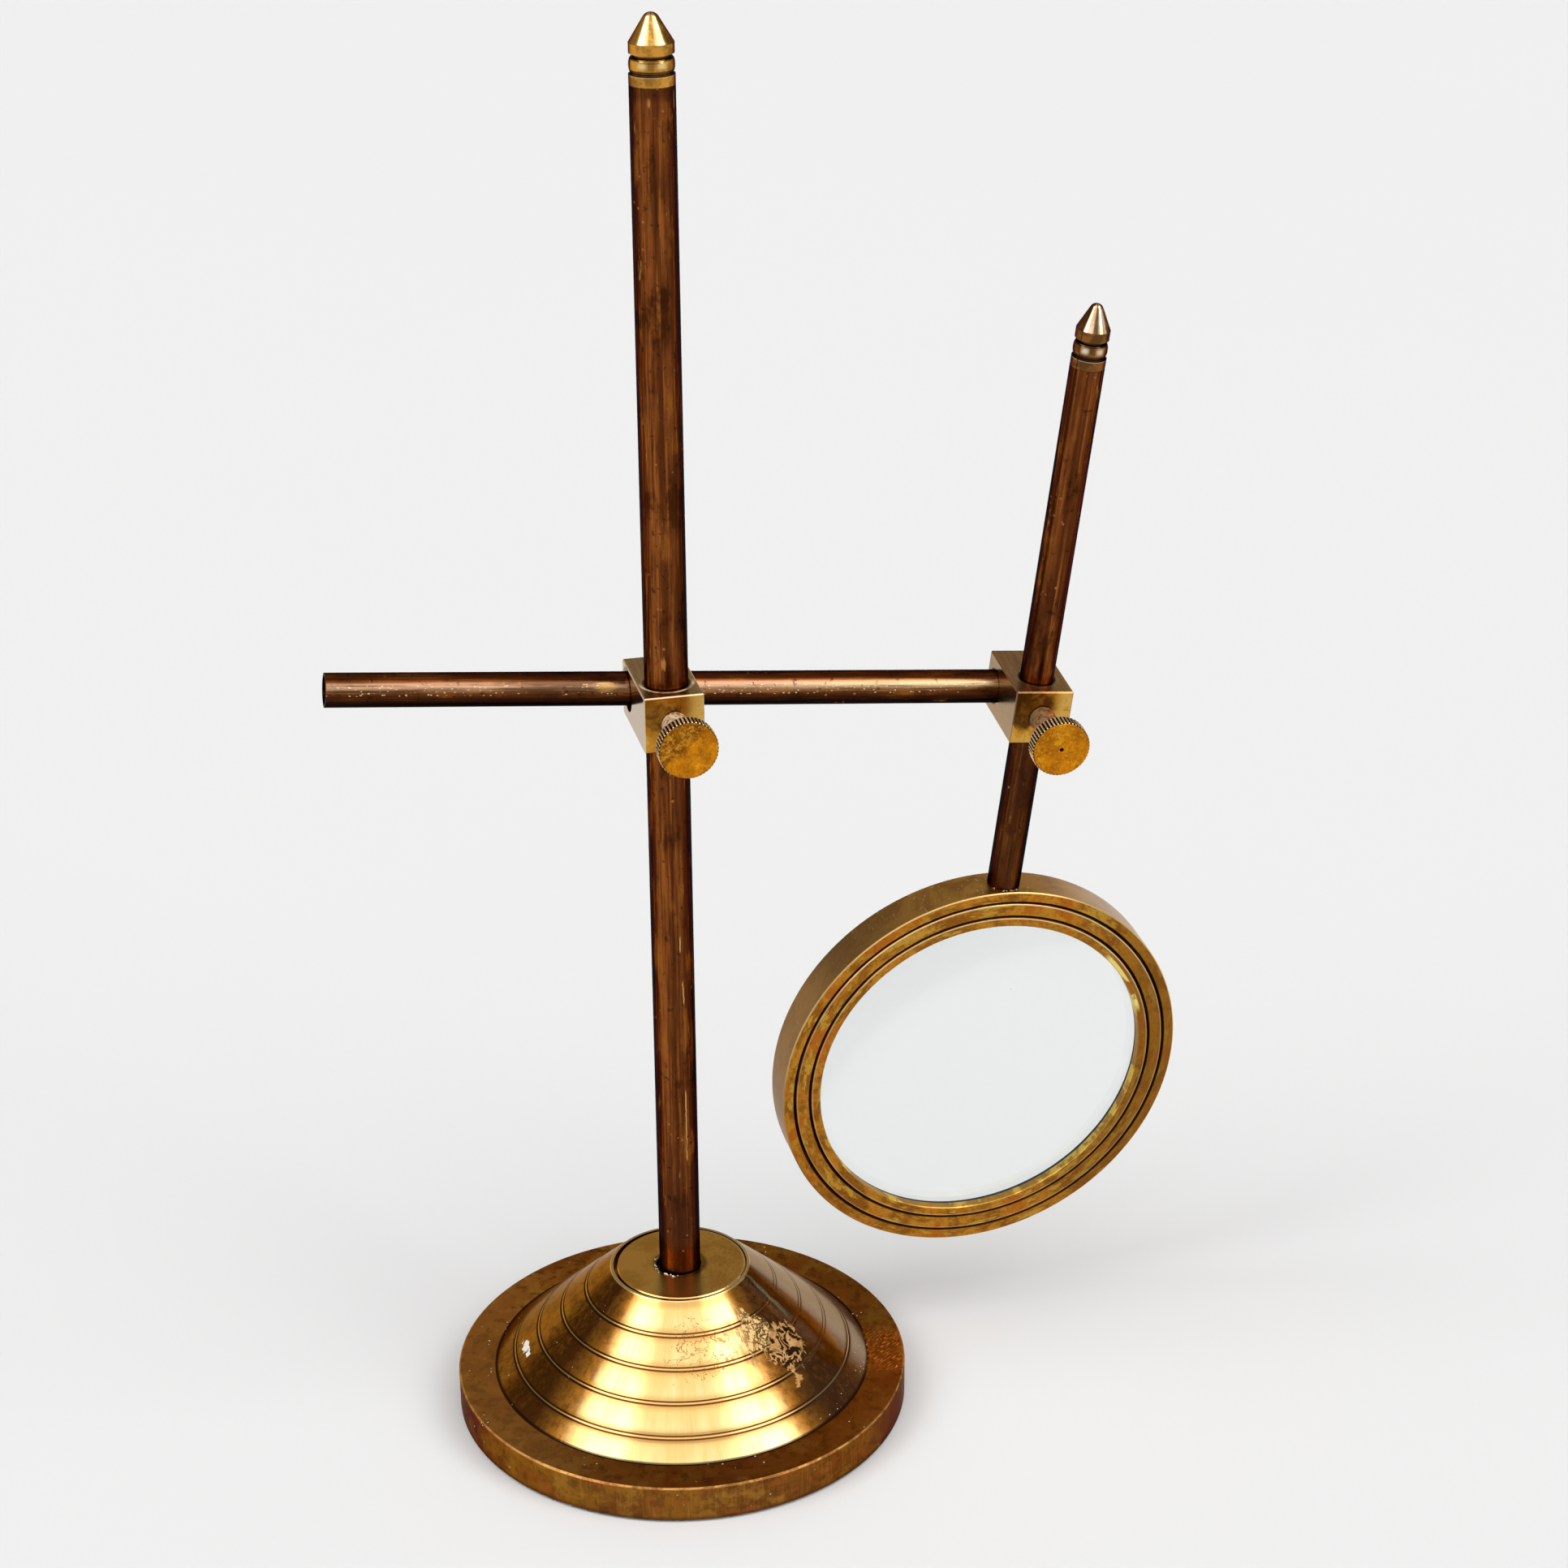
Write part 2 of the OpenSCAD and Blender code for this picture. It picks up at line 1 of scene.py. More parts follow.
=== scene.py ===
import json
import math
import random

import bmesh
import bpy
from mathutils import Matrix, Vector

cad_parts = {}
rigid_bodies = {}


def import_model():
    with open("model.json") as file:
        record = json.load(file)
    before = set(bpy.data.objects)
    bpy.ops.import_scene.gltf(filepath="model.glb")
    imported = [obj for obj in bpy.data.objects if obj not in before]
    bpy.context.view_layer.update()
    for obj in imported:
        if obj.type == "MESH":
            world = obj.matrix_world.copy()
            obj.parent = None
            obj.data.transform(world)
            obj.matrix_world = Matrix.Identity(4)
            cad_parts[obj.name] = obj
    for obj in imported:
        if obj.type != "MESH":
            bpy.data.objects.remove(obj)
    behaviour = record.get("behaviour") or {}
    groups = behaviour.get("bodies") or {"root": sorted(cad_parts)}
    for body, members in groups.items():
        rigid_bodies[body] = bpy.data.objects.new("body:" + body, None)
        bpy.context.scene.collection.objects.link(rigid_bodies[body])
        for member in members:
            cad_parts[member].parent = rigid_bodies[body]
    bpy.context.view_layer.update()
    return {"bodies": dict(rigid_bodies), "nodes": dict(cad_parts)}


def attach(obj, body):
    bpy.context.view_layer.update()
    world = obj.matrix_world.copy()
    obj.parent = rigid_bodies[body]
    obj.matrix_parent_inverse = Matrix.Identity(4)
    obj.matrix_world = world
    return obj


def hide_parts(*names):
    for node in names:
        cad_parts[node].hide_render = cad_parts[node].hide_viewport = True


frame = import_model()

bl_info = {
    "name": "Magnifying glass on stand",
    "version": (1, 0, 0),
    "blender": (4, 5, 0),
    "location": "View3D > Sidebar > Lens stand",
    "description": "Finishes, small pieces and studio for a brass magnifying glass on a stand",
    "category": "Object",
}

MM = 0.001

# Sizes of the solids that the finishes follow, in millimetres

CONE_FOOT = 15.4
CONE_FOOT_RADIUS = 73.6
CONE_TOP = 58.0
LOWEST_LINES = 22.2
LINE_STEP = 8.9
RIM_RADIUS = 88.5
RIM_SIDE_TOP = 14.8
CAP_RADIUS = 25.4
CAP_TOP = 58.2
POST_TOP = 521.5
LENS_ROD_TOP = 135.2
BLOCK_HALF_WIDTH = 11.1
BLOCK_HALF_HEIGHT = 10.75
CHAMFER = (0.44, 0.38)
KNOB_RADIUS = 11.0
RING_RADIUS = 81.6
RING_OPENING = 66.5
RING_GROOVES = (77.0, 70.8)

# Where each group stands and how it leans

FRONT = Vector((-0.2135, -0.9769, 0.0)).normalized()
FRONT_TURN = 0.781
ROD_DROOP = math.radians(5.56)
LENS_LEAN = math.radians(5.44)
LENS_TURN = math.radians(3.38)
TILT = {
    "upright": Matrix.Identity(3),
    "cross": Matrix.Rotation(ROD_DROOP, 3, "Y"),
    "hanging": Matrix.Rotation(ROD_DROOP, 3, "Y") @ Matrix.Rotation(LENS_LEAN, 3, "X"),
}
TILT["ring"] = TILT["hanging"] @ Matrix.Rotation(LENS_TURN, 3, "Z")
CENTRE = {
    "upright": Vector((0, 0, 0)),
    "post_block": Vector((0, 0, 0.294)),
    "cross": Vector((0, 0.0178625, 0.29535)),
    "hanging": Vector((0.140405, 0.0037065, 0.280328)),
    "ring": Vector((0.125011, 0.018837, 0.122194)),
}
GRIME = (0.03, 0.012, 0.004)

# Soft boxes in degrees: turn from the front, rise, and where the soft edge starts and ends

SOFT_BOXES = ((-67, 50, 69, 81), (67, 50, 69, 81), (-58, 36, 74, 84), (58, 36, 74, 84), (56, 23, 76, 86))


# Shader maths


class Wire:
    """An output socket; arithmetic on it adds Math nodes."""

    def __init__(self, finish, socket):
        self.finish = finish
        self.socket = socket

    def __add__(self, other):
        return self.finish.maths("ADD", self, other)

    def __sub__(self, other):
        return self.finish.maths("SUBTRACT", self, other)

    def __rsub__(self, other):
        return self.finish.maths("SUBTRACT", other, self)

    def __mul__(self, other):
        return self.finish.maths("MULTIPLY", self, other)

    def __truediv__(self, other):
        return self.finish.maths("DIVIDE", self, other)

    def __pow__(self, other):
        return self.finish.maths("POWER", self, other)

    def __abs__(self):
        return self.finish.maths("ABSOLUTE", self)

    def __or__(self, other):
        """The larger of two masks."""
        return self.finish.maths("MAXIMUM", self, other)

    __radd__ = __add__
    __rmul__ = __mul__

    def above(self, low, high, unit=1):
        """0 up to low, 1 from high, smooth between them; both are measured in unit."""
        return self.finish.node(
            "ShaderNodeMapRange",
            {"interpolation_type": "SMOOTHSTEP"},
            {"Value": self, "From Min": low * unit, "From Max": high * unit},
        )

    def below(self, low, high, unit=1):
        """1 up to low, 0 from high, smooth between them."""
        return 1 - self.above(low, high, unit)

    def near(self, middle, half, soft, unit=1):
        """1 within half of the middle, falling to 0 over soft."""
        return abs(self - middle * unit).below(half, half + soft, unit)


def hypot(a, b):
    """Distance from an axis, from the two directions across it."""
    return (a * a + b * b) ** 0.5


class Finish:
    """A node tree under construction."""

    def __init__(self, tree):
        self.tree = tree

    def feed(self, socket, value):
        """Links a wire to a socket, or sets the socket to a plain value."""
        if isinstance(value, Wire):
            self.tree.links.new(value.socket, socket)
        elif socket.type == "RGBA" and len(value) == 3:
            socket.default_value = (*value, 1.0)
        else:
            socket.default_value = value

    def node(self, kind, settings=None, values=None, out=None):
        """Adds a node: its settings first, then the values or links of its sockets."""
        made = self.tree.nodes.new(kind)
        for key, value in (settings or {}).items():
            setattr(made, key, value)
        for key, value in (values or {}).items():
            named = (s for s in made.inputs if s.name == key and s.enabled)
            self.feed(made.inputs[key] if isinstance(key, int) else next(named), value)
        found = [s for s in made.outputs if s.enabled and out in (None, s.name)]
        return Wire(self, found[0]) if found else made

    def maths(self, operation, *values):
        return self.node("ShaderNodeMath", {"operation": operation}, dict(enumerate(values)))

    def vector_maths(self, operation, *values, out=None):
        return self.node("ShaderNodeVectorMath", {"operation": operation}, dict(enumerate(values)), out)

    def mix(self, factor, first, second):
        """Colour first where factor is 0, second where it is 1."""
        return self.node(
            "ShaderNodeMix",
            {"data_type": "RGBA", "clamp_factor": True},
            {"Factor": factor, "A": first, "B": second},
        )

    def layers(self, tone, *coats):
        """Lays each (mask, colour) coat over the tone in turn."""
        for mask, coat in coats:
            tone = self.mix(mask, tone, coat)
        return tone

    def split(self, vector):
        first = self.node("ShaderNodeSeparateXYZ", {}, {"Vector": vector})
        return [Wire(self, s) for s in first.socket.node.outputs]

    def join(self, x, y, z):
        return self.node("ShaderNodeCombineXYZ", {}, {"X": x, "Y": y, "Z": z})

    def place(self, tilt="upright", centre=None):
        """Object coordinates seen from a group's own centre and tilt."""
        turned = TILT[tilt].transposed()
        point = self.node("ShaderNodeTexCoord", out="Object")
        return self.node(
            "ShaderNodeMapping",
            {"vector_type": "POINT"},
            {
                "Vector": point,
                "Rotation": turned.to_euler(),
                "Location": -(turned @ CENTRE[centre or tilt]),
            },
        )

    def stretch(self, vector, x, y, z):
        """The pattern's coordinates times one scale for each direction."""
        return self.vector_maths("MULTIPLY", vector, (x, y, z))

    def distance(self, vector, point):
        return self.vector_maths("DISTANCE", vector, point, out="Value")

    def noise(self, vector, scale=1.0, detail=3.0, rough=0.55, warp=0.0):
        return self.node(
            "ShaderNodeTexNoise",
            {"noise_dimensions": "3D"},
            {"Vector": vector, "Scale": scale, "Detail": detail, "Roughness": rough, "Distortion": warp},
        )

    def cells(self, vector, scale=1.0, feature="F1"):
        values = {"Vector": vector, "Scale": scale}
        return self.node("ShaderNodeTexVoronoi", {"feature": feature}, values, out="Distance")


class Metal(Finish):
    """A material with one Principled shader."""

    def __init__(self, name, **constants):
        self.material = bpy.data.materials.new(name)
        self.material.use_nodes = True
        super().__init__(self.material.node_tree)
        self.shader = self.tree.nodes["Principled BSDF"]
        self.set(**constants)

    def set(self, **values):
        for key, value in values.items():
            self.feed(self.shader.inputs[key.replace("_", " ")], value)
        return self

    def bump(self, height, reach, strength):
        """Relief: height 0 to 1 over reach metres."""
        values = {"Strength": strength, "Distance": reach, "Height": height}
        return self.set(Normal=self.node("ShaderNodeBump", {}, values))

    def polar(self, vector, axis="Z"):
        """Radius, turn and height of a point about an axis, and the two directions across it."""
        x, y, z = self.split(vector)
        a, b, along = {"Z": (x, y, z), "Y": (x, z, y), "X": (y, z, x)}[axis]
        turn = self.maths("ARCTAN2", b, a) / (2 * math.pi)
        return hypot(a, b), turn, along, a, b

    def from_front(self, turn):
        """A turn measured from the side that faces the front, -0.5 to 0.5."""
        return self.maths("FRACT", turn + FRONT_TURN) - 0.5

    def around(self, a, b, radius, repeats, along):
        """Pattern coordinates that run round an axis and close without a seam."""
        size = repeats / (2 * math.pi)
        return self.join(a / radius * size, b / radius * size, along)

    def onto(self, *names):
        """Puts the material on CAD nodes or pieces."""
        for name in names:
            data = (frame["nodes"].get(name) or bpy.data.objects[name]).data
            data.materials.clear()
            data.materials.append(self.material)


def two_tone(name, names, tones, pattern, scales=None, tilt="upright", rough=None, relief=None, **constants):
    """A plain material whose two tones, roughness and relief follow one noise."""
    m = Metal(name, **constants)
    p = m.place(tilt)
    grain = m.noise(m.stretch(p, *scales) if scales else p, **pattern)
    m.set(Base_Color=m.mix(grain, *tones))
    if rough:
        m.set(Roughness=rough[0] + grain * rough[1])
    if relief:
        m.bump(grain, *relief)
    m.onto(*names)


# Settings


def length(name, about, default, low):
    return bpy.props.FloatProperty(name=name, description=about, default=default, unit="LENGTH", min=low)


def level(name, about, default):
    return bpy.props.FloatProperty(name=name, description=about, default=default, min=0.0)


def count(name, about, default):
    return bpy.props.IntProperty(name=name, description=about, default=default, min=0)


def colour(name, about, default):
    return bpy.props.FloatVectorProperty(
        name=name, description=about, default=default, subtype="COLOR", size=3, min=0.0, max=1.0
    )


class BrassColours(bpy.types.PropertyGroup):
    """Colours of the lacquered and turned brass."""

    # Pale is a painted highlight: the pale brass over the front of the cone stands in for the reflection of
    # the bright front light.
    pale: colour("Pale", "Lacquered brass where the cone is rubbed clean", (0.68, 0.55, 0.22))
    amber: colour("Amber", "Lacquered brass under a thin patina", (0.4, 0.155, 0.018))
    # Brown is a painted reflection: the dark stripes down the cone's sides stand for the dark room reflected
    # there.
    brown: colour("Brown", "Lacquered brass under a thick patina", (0.13, 0.04, 0.005))
    rim: colour("Rim", "Orange-brown patina of the base rim", (0.46, 0.175, 0.03))
    olive: colour("Olive", "Polished brass of the cap disc", (0.7, 0.355, 0.075))
    golden: colour("Golden", "Bare golden brass of blocks and ring", (0.5, 0.215, 0.02))
    mottle: colour("Mottle", "Dark olive spots on bare brass", (0.075, 0.029, 0.0035))
    ochre: colour("Ochre", "Matte ochre of the thumbscrew faces", (0.64, 0.235, 0.006))
    bright: colour("Bright", "Fresh brass on edges and finials", (0.74, 0.5, 0.2))


class CopperColours(bpy.types.PropertyGroup):
    """Colours of the copper-toned tubes."""

    dark: colour("Dark", "Dark red-brown of the tubes", (0.075, 0.018, 0.003))
    # The same orange-brown also paints the reflection stripes down the tubes.
    streak_and_reflection: colour("Streak", "Orange-brown lengthwise streaks", (0.25, 0.07, 0.014))
    gold: colour("Gold", "Golden smudges where the copper is worn through", (0.46, 0.26, 0.075))


class StudioSettings(bpy.types.PropertyGroup):
    """Floor, light and camera."""

    overhead: level("Overhead light", "Radiance of the broad light high over the front", 1.65)
    front: level("Front light", "Radiance of the lower light in front", 1.2)
    boxes: level("Soft boxes", "Radiance that each soft box adds", 3.6)
    room: level("Room", "Radiance of the rest of the room", 0.36)
    floor: colour("Floor", "Colour of the plain floor", (0.772, 0.775, 0.78))
    lens: bpy.props.FloatProperty(
        name="Focal length", description="Focal length of the camera", default=75.27, min=1.0, unit="CAMERA"
    )
    stand_point: bpy.props.FloatVectorProperty(
        name="Camera place",
        description="Where the camera stands",
        default=(-0.2125305, -1.0778719, 0.7576059),
        subtype="TRANSLATION",
        unit="LENGTH",
        size=3,
    )


class SmallPieces(bpy.types.PropertyGroup):
    """Crumbs, fibres and the glass."""

    seed: count("Seed", "Seed of the scattered crumbs and fibres", 7)
    crumbs: count("Crumbs", "Crumbs at the post's foot", 20)
    fibres: count("Fibres", "Loose felt fibres round the base", 260)
    solder: count("Solder crumbs", "Crumbs at the lens rod's foot", 16)
    lens_radius: length("Glass radius", "Radius of the lens disc", 76.6 * MM, 0.01)
    lens_curve: length("Glass curvature", "Radius of both faces of the lens", 450 * MM, 0.1)
    lens_edge: length("Glass edge", "Thickness of the lens at its edge", 3.0 * MM, 0.001)


# Base


def cone_finish(brass):
    tint = (0.75, 0.55, 0.33)
    m = Metal("cone_brass", Metallic=1.0, Coat_IOR=1.5, Coat_Roughness=0.1, Specular_Tint=tint)
    p = m.place()
    radius, turn, z, x, y = m.polar(p)
    cloud = m.noise(p, scale=26, detail=5, rough=0.6)
    mottle = m.noise(p, scale=105, detail=6, rough=0.68)
    ragged = m.noise(p, scale=230, detail=6, rough=0.7)
    speckle = m.noise(m.stretch(p, 1, 1, 0.5), scale=520, detail=5, rough=0.7)
    drips = m.noise(m.around(x, y, radius, 46, z * 34), detail=5, rough=0.6)
    hair = m.noise(m.around(x, y, radius, 420, z * 25 + 3), detail=4, rough=0.65)
    lathe = m.noise(m.around(x, y, radius, 3, z * 5200), detail=2)
    fingers = m.noise(m.around(x, y, radius, 120, z * 170 + 5), detail=5, rough=0.62)
    web = abs(m.noise(p, scale=240, detail=4, rough=0.55, warp=0.8) - 0.5)

    across = m.from_front(turn) + (cloud - 0.5) * 0.05 + (drips - 0.5) * 0.03
    aside = abs(across)
    # The front sector, where the painted highlight takes the place of the patina.
    highlit_front = aside.below(0.082, 0.12)
    right = across.above(0.1, 0.16) * across.below(0.38, 0.46)
    step = (z - LOWEST_LINES * MM) / (LINE_STEP * MM)
    past = (m.maths("FRACT", step + 0.5) - 0.5) * (LINE_STEP * MM)
    off = abs(past)
    faded = turn.above(-0.145, -0.12) * turn.below(0.12, 0.2) * z.above(25, 26, MM)
    inside = z.below(54, 55, MM) * z.above(18, 19, MM) * (1 - faded * 0.8)
    upper_line = past.near(0.5, 0.12, 0.2, MM)
    lower_line = past.near(-0.5, 0.22, 0.22, MM)
    lines = (upper_line | lower_line) * inside
    between = off.below(0.06, 0.22, MM) * inside
    trough = z.near(LOWEST_LINES, 1.1, 0.5, MM) * (1 - lines) * (1 - between)

    upper = m.distance(p, (0.0217, -0.0352, 0.045)) + (fingers - 0.5) * 0.02
    lower = m.distance(p, (0.0335, -0.0365, 0.038)) + (fingers - 0.5) * 0.024
    tail = m.distance(m.stretch(p, 1, 0.5, 1), (0.0365, -0.0232, 0.0285)) + (ragged - 0.5) * 0.008
    corroded = upper.below(7.6, 8.2, MM) | lower.below(8.6, 9.6, MM)
    stain = m.maths("MINIMUM", upper, lower).below(8, 14, MM)
    firm = (lower - upper).above(-1.5, 2.5, MM)
    bent = m.vector_maths("ADD", p, m.join(web * 0.012, ragged * 0.01, fingers * 0.01))
    cracks = m.cells(bent, scale=300, feature="DISTANCE_TO_EDGE").above(0.06, 0.14)
    pits = m.cells(p, scale=170).below(0.15, 0.22)
    open_web = firm * cracks * (1 - pits * 0.9) + (1 - firm) * web.below(0.046, 0.066)
    scab = (corroded * open_web) | tail.below(1.3, 1.9, MM)
    crust = m.mix(ragged.above(0.4, 0.62), (0.58, 0.335, 0.125), (0.4, 0.195, 0.06))

    etched = m.distance(p, (-0.001, -0.0415, 0.0445)) + (ragged - 0.5) * 0.02
    outline = abs(m.noise(p, scale=210, detail=3, warp=1.1) - 0.5).below(0.008, 0.024)
    outline = outline * etched.below(11, 14, MM)
    stray = m.cells(p, scale=150).below(0.03, 0.06) * mottle.above(0.45, 0.5)
    beside = m.vector_maths("SUBTRACT", p, (-0.0618, 0.0044, 0.026))
    chip = m.vector_maths("LENGTH", m.stretch(beside, 1, 0.26, 0.9), out="Value")
    chip = chip + (m.noise(p, scale=430) - 0.5) * 0.0046
    seam = z.below(19, 24, MM) * 0.1
    seam = seam + turn.near(-0.09, 0.06, 0.05) * z.below(19, 23, MM) * 0.08
    dust = m.cells(p, scale=430).below(0.07, 0.12) * (m.noise(p, scale=90) + seam).above(0.62, 0.68)
    white = chip.below(1.15, 1.45, MM) | (dust * 0.85)
    dull = scab | white | (outline * 0.4)

    # Painted highlight over the front sector, with darker golden stripes towards the top of each tier and
    # beside each line pair.
    clean_and_highlit = m.layers(
        brass.pale,
        (drips.above(0.36, 0.64) * 0.8, (0.6, 0.4, 0.12)),
        (hair.above(0.5, 0.66) * 0.35, (0.74, 0.6, 0.32)),
        (mottle.above(0.58, 0.72) * 0.4, (0.46, 0.25, 0.05)),
        (m.maths("FRACT", step).above(0.3, 0.96) * (0.2 + cloud * 0.6), (0.62, 0.39, 0.085)),
        (off.below(0.7, 2.6, MM) * 0.6, (0.46, 0.21, 0.035)),
    )
    tone = m.layers(
        brass.amber,
        # Down the sides: dark stripes painted as the reflection of the dark room, then paler silhouettes
        # painted as the reflection of the pale backdrop.
        (aside.above(0.13, 0.158), brass.brown),
        (aside.above(0.185, 0.23) * 0.85, (0.37, 0.14, 0.026)),
        ((cloud * 0.45 + mottle * 0.6).above(0.44, 0.62) * 0.6, (0.085, 0.028, 0.004)),
        ((drips * 0.5 + speckle * 0.6).above(0.54, 0.7) * 0.5, (0.36, 0.15, 0.022)),
        (speckle.below(0.4, 0.5) * 0.35, (0.04, 0.014, 0.003)),
        # Grey stripe on the right side: painted reflection of the pale backdrop.
        (right * across.above(0.215, 0.245) * 0.85, (0.36, 0.285, 0.225)),
        (across.near(0.192, 0.002, 0.007) * z.above(40, 50, MM) * 0.8, (0.5, 0.52, 0.33)),
        (highlit_front, clean_and_highlit),
        (between * 0.5, brass.bright),
        (lines * (0.86 + mottle * 0.2), m.mix(highlit_front, (0.04, 0.013, 0.003), (0.38, 0.15, 0.028))),
        (trough * 0.35, (0.1, 0.035, 0.006)),
        (z.above(CONE_TOP - 0.25, CONE_TOP, MM) * 0.8, brass.bright),
        (z.below(CONE_FOOT + 0.2, CONE_FOOT + 0.7, MM) * 0.9, (0.025, 0.011, 0.004)),
        (stain * 0.7 * mottle.above(0.3, 0.6), (0.085, 0.03, 0.006)),
        (corroded * 0.85, m.mix(firm, (0.035, 0.014, 0.004), (0.15, 0.058, 0.01))),
        (scab, m.mix(firm * 0.75, crust, (0.84, 0.62, 0.27))),
        (outline * 0.9, (0.36, 0.115, 0.018)),
        (stray * 0.7, (0.08, 0.035, 0.01)),
        (white, (0.86, 0.83, 0.76)),
    )
    worn = drips.above(0.4, 0.8) * 0.07 + dull * 0.45 + lines * 0.15 + (1 - highlit_front) * mottle * 0.12
    m.set(
        Base_Color=tone,
        Metallic=1 - dull * 0.75,
        Roughness=0.16 + worn,
        Coat_Weight=(1 - dull) * (0.06 + highlit_front * 0.5 + right * 0.2),
    )
    relief = lathe * 0.03 + cloud * 0.14 + mottle * 0.06 + scab * (0.35 + ragged * 0.8)
    m.bump(relief + white * 0.4 - outline * 0.2, 0.25 * MM, 0.35)
    m.onto("base_cone")


class BASE_OT_cone(bpy.types.Operator):
    """Lacquered brass of the turned cone, with its lines, stains and the corroded patch, a painted highlight
    over the front and painted reflections of the room down the sides
    """

    bl_idname = "lens_stand.base_cone"
    bl_label = "Base cone"

    def execute(self, context):
        cone_finish(context.scene.stand_brass)
        return {"FINISHED"}


def rim_finish(brass):
    m = Metal("rim_brass", Metallic=1.0, Specular_Tint=(0.35, 0.22, 0.11), Coat_Roughness=0.22)
    p = m.place()
    radius, turn, z, x, y = m.polar(p)
    cloud = m.noise(p, scale=30, detail=6, rough=0.66, warp=0.6)
    second = m.noise(m.stretch(p, 55, 55, 90), detail=6, rough=0.7)
    grime = m.noise(p, scale=210, detail=5, rough=0.72)
    streaks = m.noise(m.around(x, y, radius, 700, z * 60), detail=4, rough=0.6)
    turned = m.noise(m.around(x, y, radius, 8, radius * 5000), detail=2)
    side = radius.above(RIM_RADIUS - 0.3, RIM_RADIUS - 0.1, MM)
    side = side * z.below(RIM_SIDE_TOP - 0.2, RIM_SIDE_TOP, MM)
    top = 1 - side
    edge = radius.near(RIM_RADIUS - 0.4, 0.16, 0.18, MM)
    edge = edge * z.above(RIM_SIDE_TOP - 0.05, RIM_SIDE_TOP + 0.1, MM)
    seam = radius.near(CONE_FOOT_RADIUS, 0.35, 0.55, MM) * top
    worn = m.distance(p, (0.08, -0.016, 0.0154)).below(9, 21, MM) * top
    scratch = m.noise(m.join(x * 300 + y * 220, (y - x * 0.7) * 1500, 0.0), detail=3)
    scratch = scratch.above(0.53, 0.6) * worn
    dust = m.cells(p, scale=300).below(0.07, 0.12) * m.noise(p, scale=48).above(0.54, 0.62)
    wall = m.layers(
        m.mix(cloud.above(0.42, 0.6), (0.26, 0.105, 0.011), (0.17, 0.055, 0.009)),
        (second.above(0.48, 0.62) * 0.7, (0.37, 0.17, 0.024)),
        (second.below(0.4, 0.46) * 0.5, (0.34, 0.09, 0.02)),
        (streaks.above(0.48, 0.7) * 0.25, (0.46, 0.25, 0.05)),
        (grime.above(0.5, 0.62) * 0.5, (0.09, 0.035, 0.006)),
        (x.above(45, 80, MM) * 0.6, (0.2, 0.095, 0.06)),
        (z.below(1.4, 3.2, MM) * 0.6, (0.05, 0.022, 0.008)),
    )
    tone = m.layers(
        brass.rim,
        (cloud.above(0.42, 0.64), (0.3, 0.095, 0.016)),
        (second.above(0.5, 0.62) * 0.8, (0.56, 0.27, 0.05)),
        (cloud.below(0.38, 0.48) * second.below(0.46, 0.52) * 0.6, (0.4, 0.105, 0.022)),
        (grime.above(0.5, 0.62) * 0.7, (0.1, 0.036, 0.007)),
        (turn.near(-0.281, 0.1, 0.1) * top * 0.45, (0.13, 0.045, 0.006)),
        (x.above(20, 65, MM) * 0.5, (0.17, 0.055, 0.006)),
        (x.below(-75, -35, MM) * 0.35, (0.56, 0.25, 0.07)),
        (side, wall),
        (edge * (0.15 + grime.below(0.42, 0.56) * 0.55), (0.62, 0.36, 0.13)),
        (seam * 0.9, (0.018, 0.008, 0.003)),
        (scratch * 0.95, (0.95, 0.3, 0.07)),
        (worn * cloud * 0.3, (0.6, 0.22, 0.03)),
        (dust * 0.85, (0.8, 0.74, 0.64)),
    )
    m.set(
        Base_Color=tone,
        Metallic=1 - dust * 0.8,
        Roughness=0.25 + grime * 0.22 + scratch * 0.1 + edge * 0.15,
        Coat_Weight=0.03 + cloud * 0.06,
    )
    m.bump(turned * top * 0.15 + streaks * side * 0.12 + grime * 0.35 + dust, 0.12 * MM, 0.4)
    m.onto("base_rim")


class BASE_OT_rim(bpy.types.Operator):
    """Orange-brown patina of the rim, with streaks down its side, scratches and a bright edge"""

    bl_idname = "lens_stand.base_rim"
    bl_label = "Base rim"

    def execute(self, context):
        rim_finish(context.scene.stand_brass)
        return {"FINISHED"}


def cap_finish(brass):
    m = Metal("cap_brass", Metallic=1.0, Coat_Roughness=0.08, Specular_Tint=(0.75, 0.5, 0.25))
    p = m.place()
    radius, _, _, x, y = m.polar(p)
    turned = m.noise(m.around(x, y, radius, 6, radius * 7000), detail=2)
    cloud = m.noise(p, scale=90, detail=5, rough=0.65)
    freckle = m.noise(p, scale=900, detail=3).above(0.54, 0.64)
    right = (x + (cloud - 0.5) * 0.02).above(3, 12, MM)
    handled = m.distance(p, (-0.003, -0.015, 0.0582)).below(7, 15, MM)
    tone = m.layers(
        brass.olive,
        (cloud.above(0.42, 0.62) * 0.7, (0.5, 0.225, 0.04)),
        (right * (0.02 + freckle * 0.45), (0.2, 0.095, 0.022)),
        (radius.below(9.6, 11.6, MM) * 0.75, (0.1, 0.026, 0.008)),
        (radius.above(CAP_RADIUS - 0.65, CAP_RADIUS - 0.3, MM) * 0.85, brass.bright),
        (handled * 0.45, (0.62, 0.42, 0.12)),
    )
    m.set(
        Base_Color=tone,
        Roughness=0.12 + cloud * 0.1 + right * freckle * 0.25 + handled * 0.14,
        Coat_Weight=0.05 + cloud * 0.08,
    )
    m.bump(turned * 0.3 + freckle * right * 0.4, 0.05 * MM, 0.35)
    m.onto("base_cap")


class BASE_OT_cap(bpy.types.Operator):
    """Polished olive-brown cap disc with fine turned lines and a darker, speckled right half"""

    bl_idname = "lens_stand.base_cap"
    bl_label = "Base cap"

    def execute(self, context):
        cap_finish(context.scene.stand_brass)
        return {"FINISHED"}


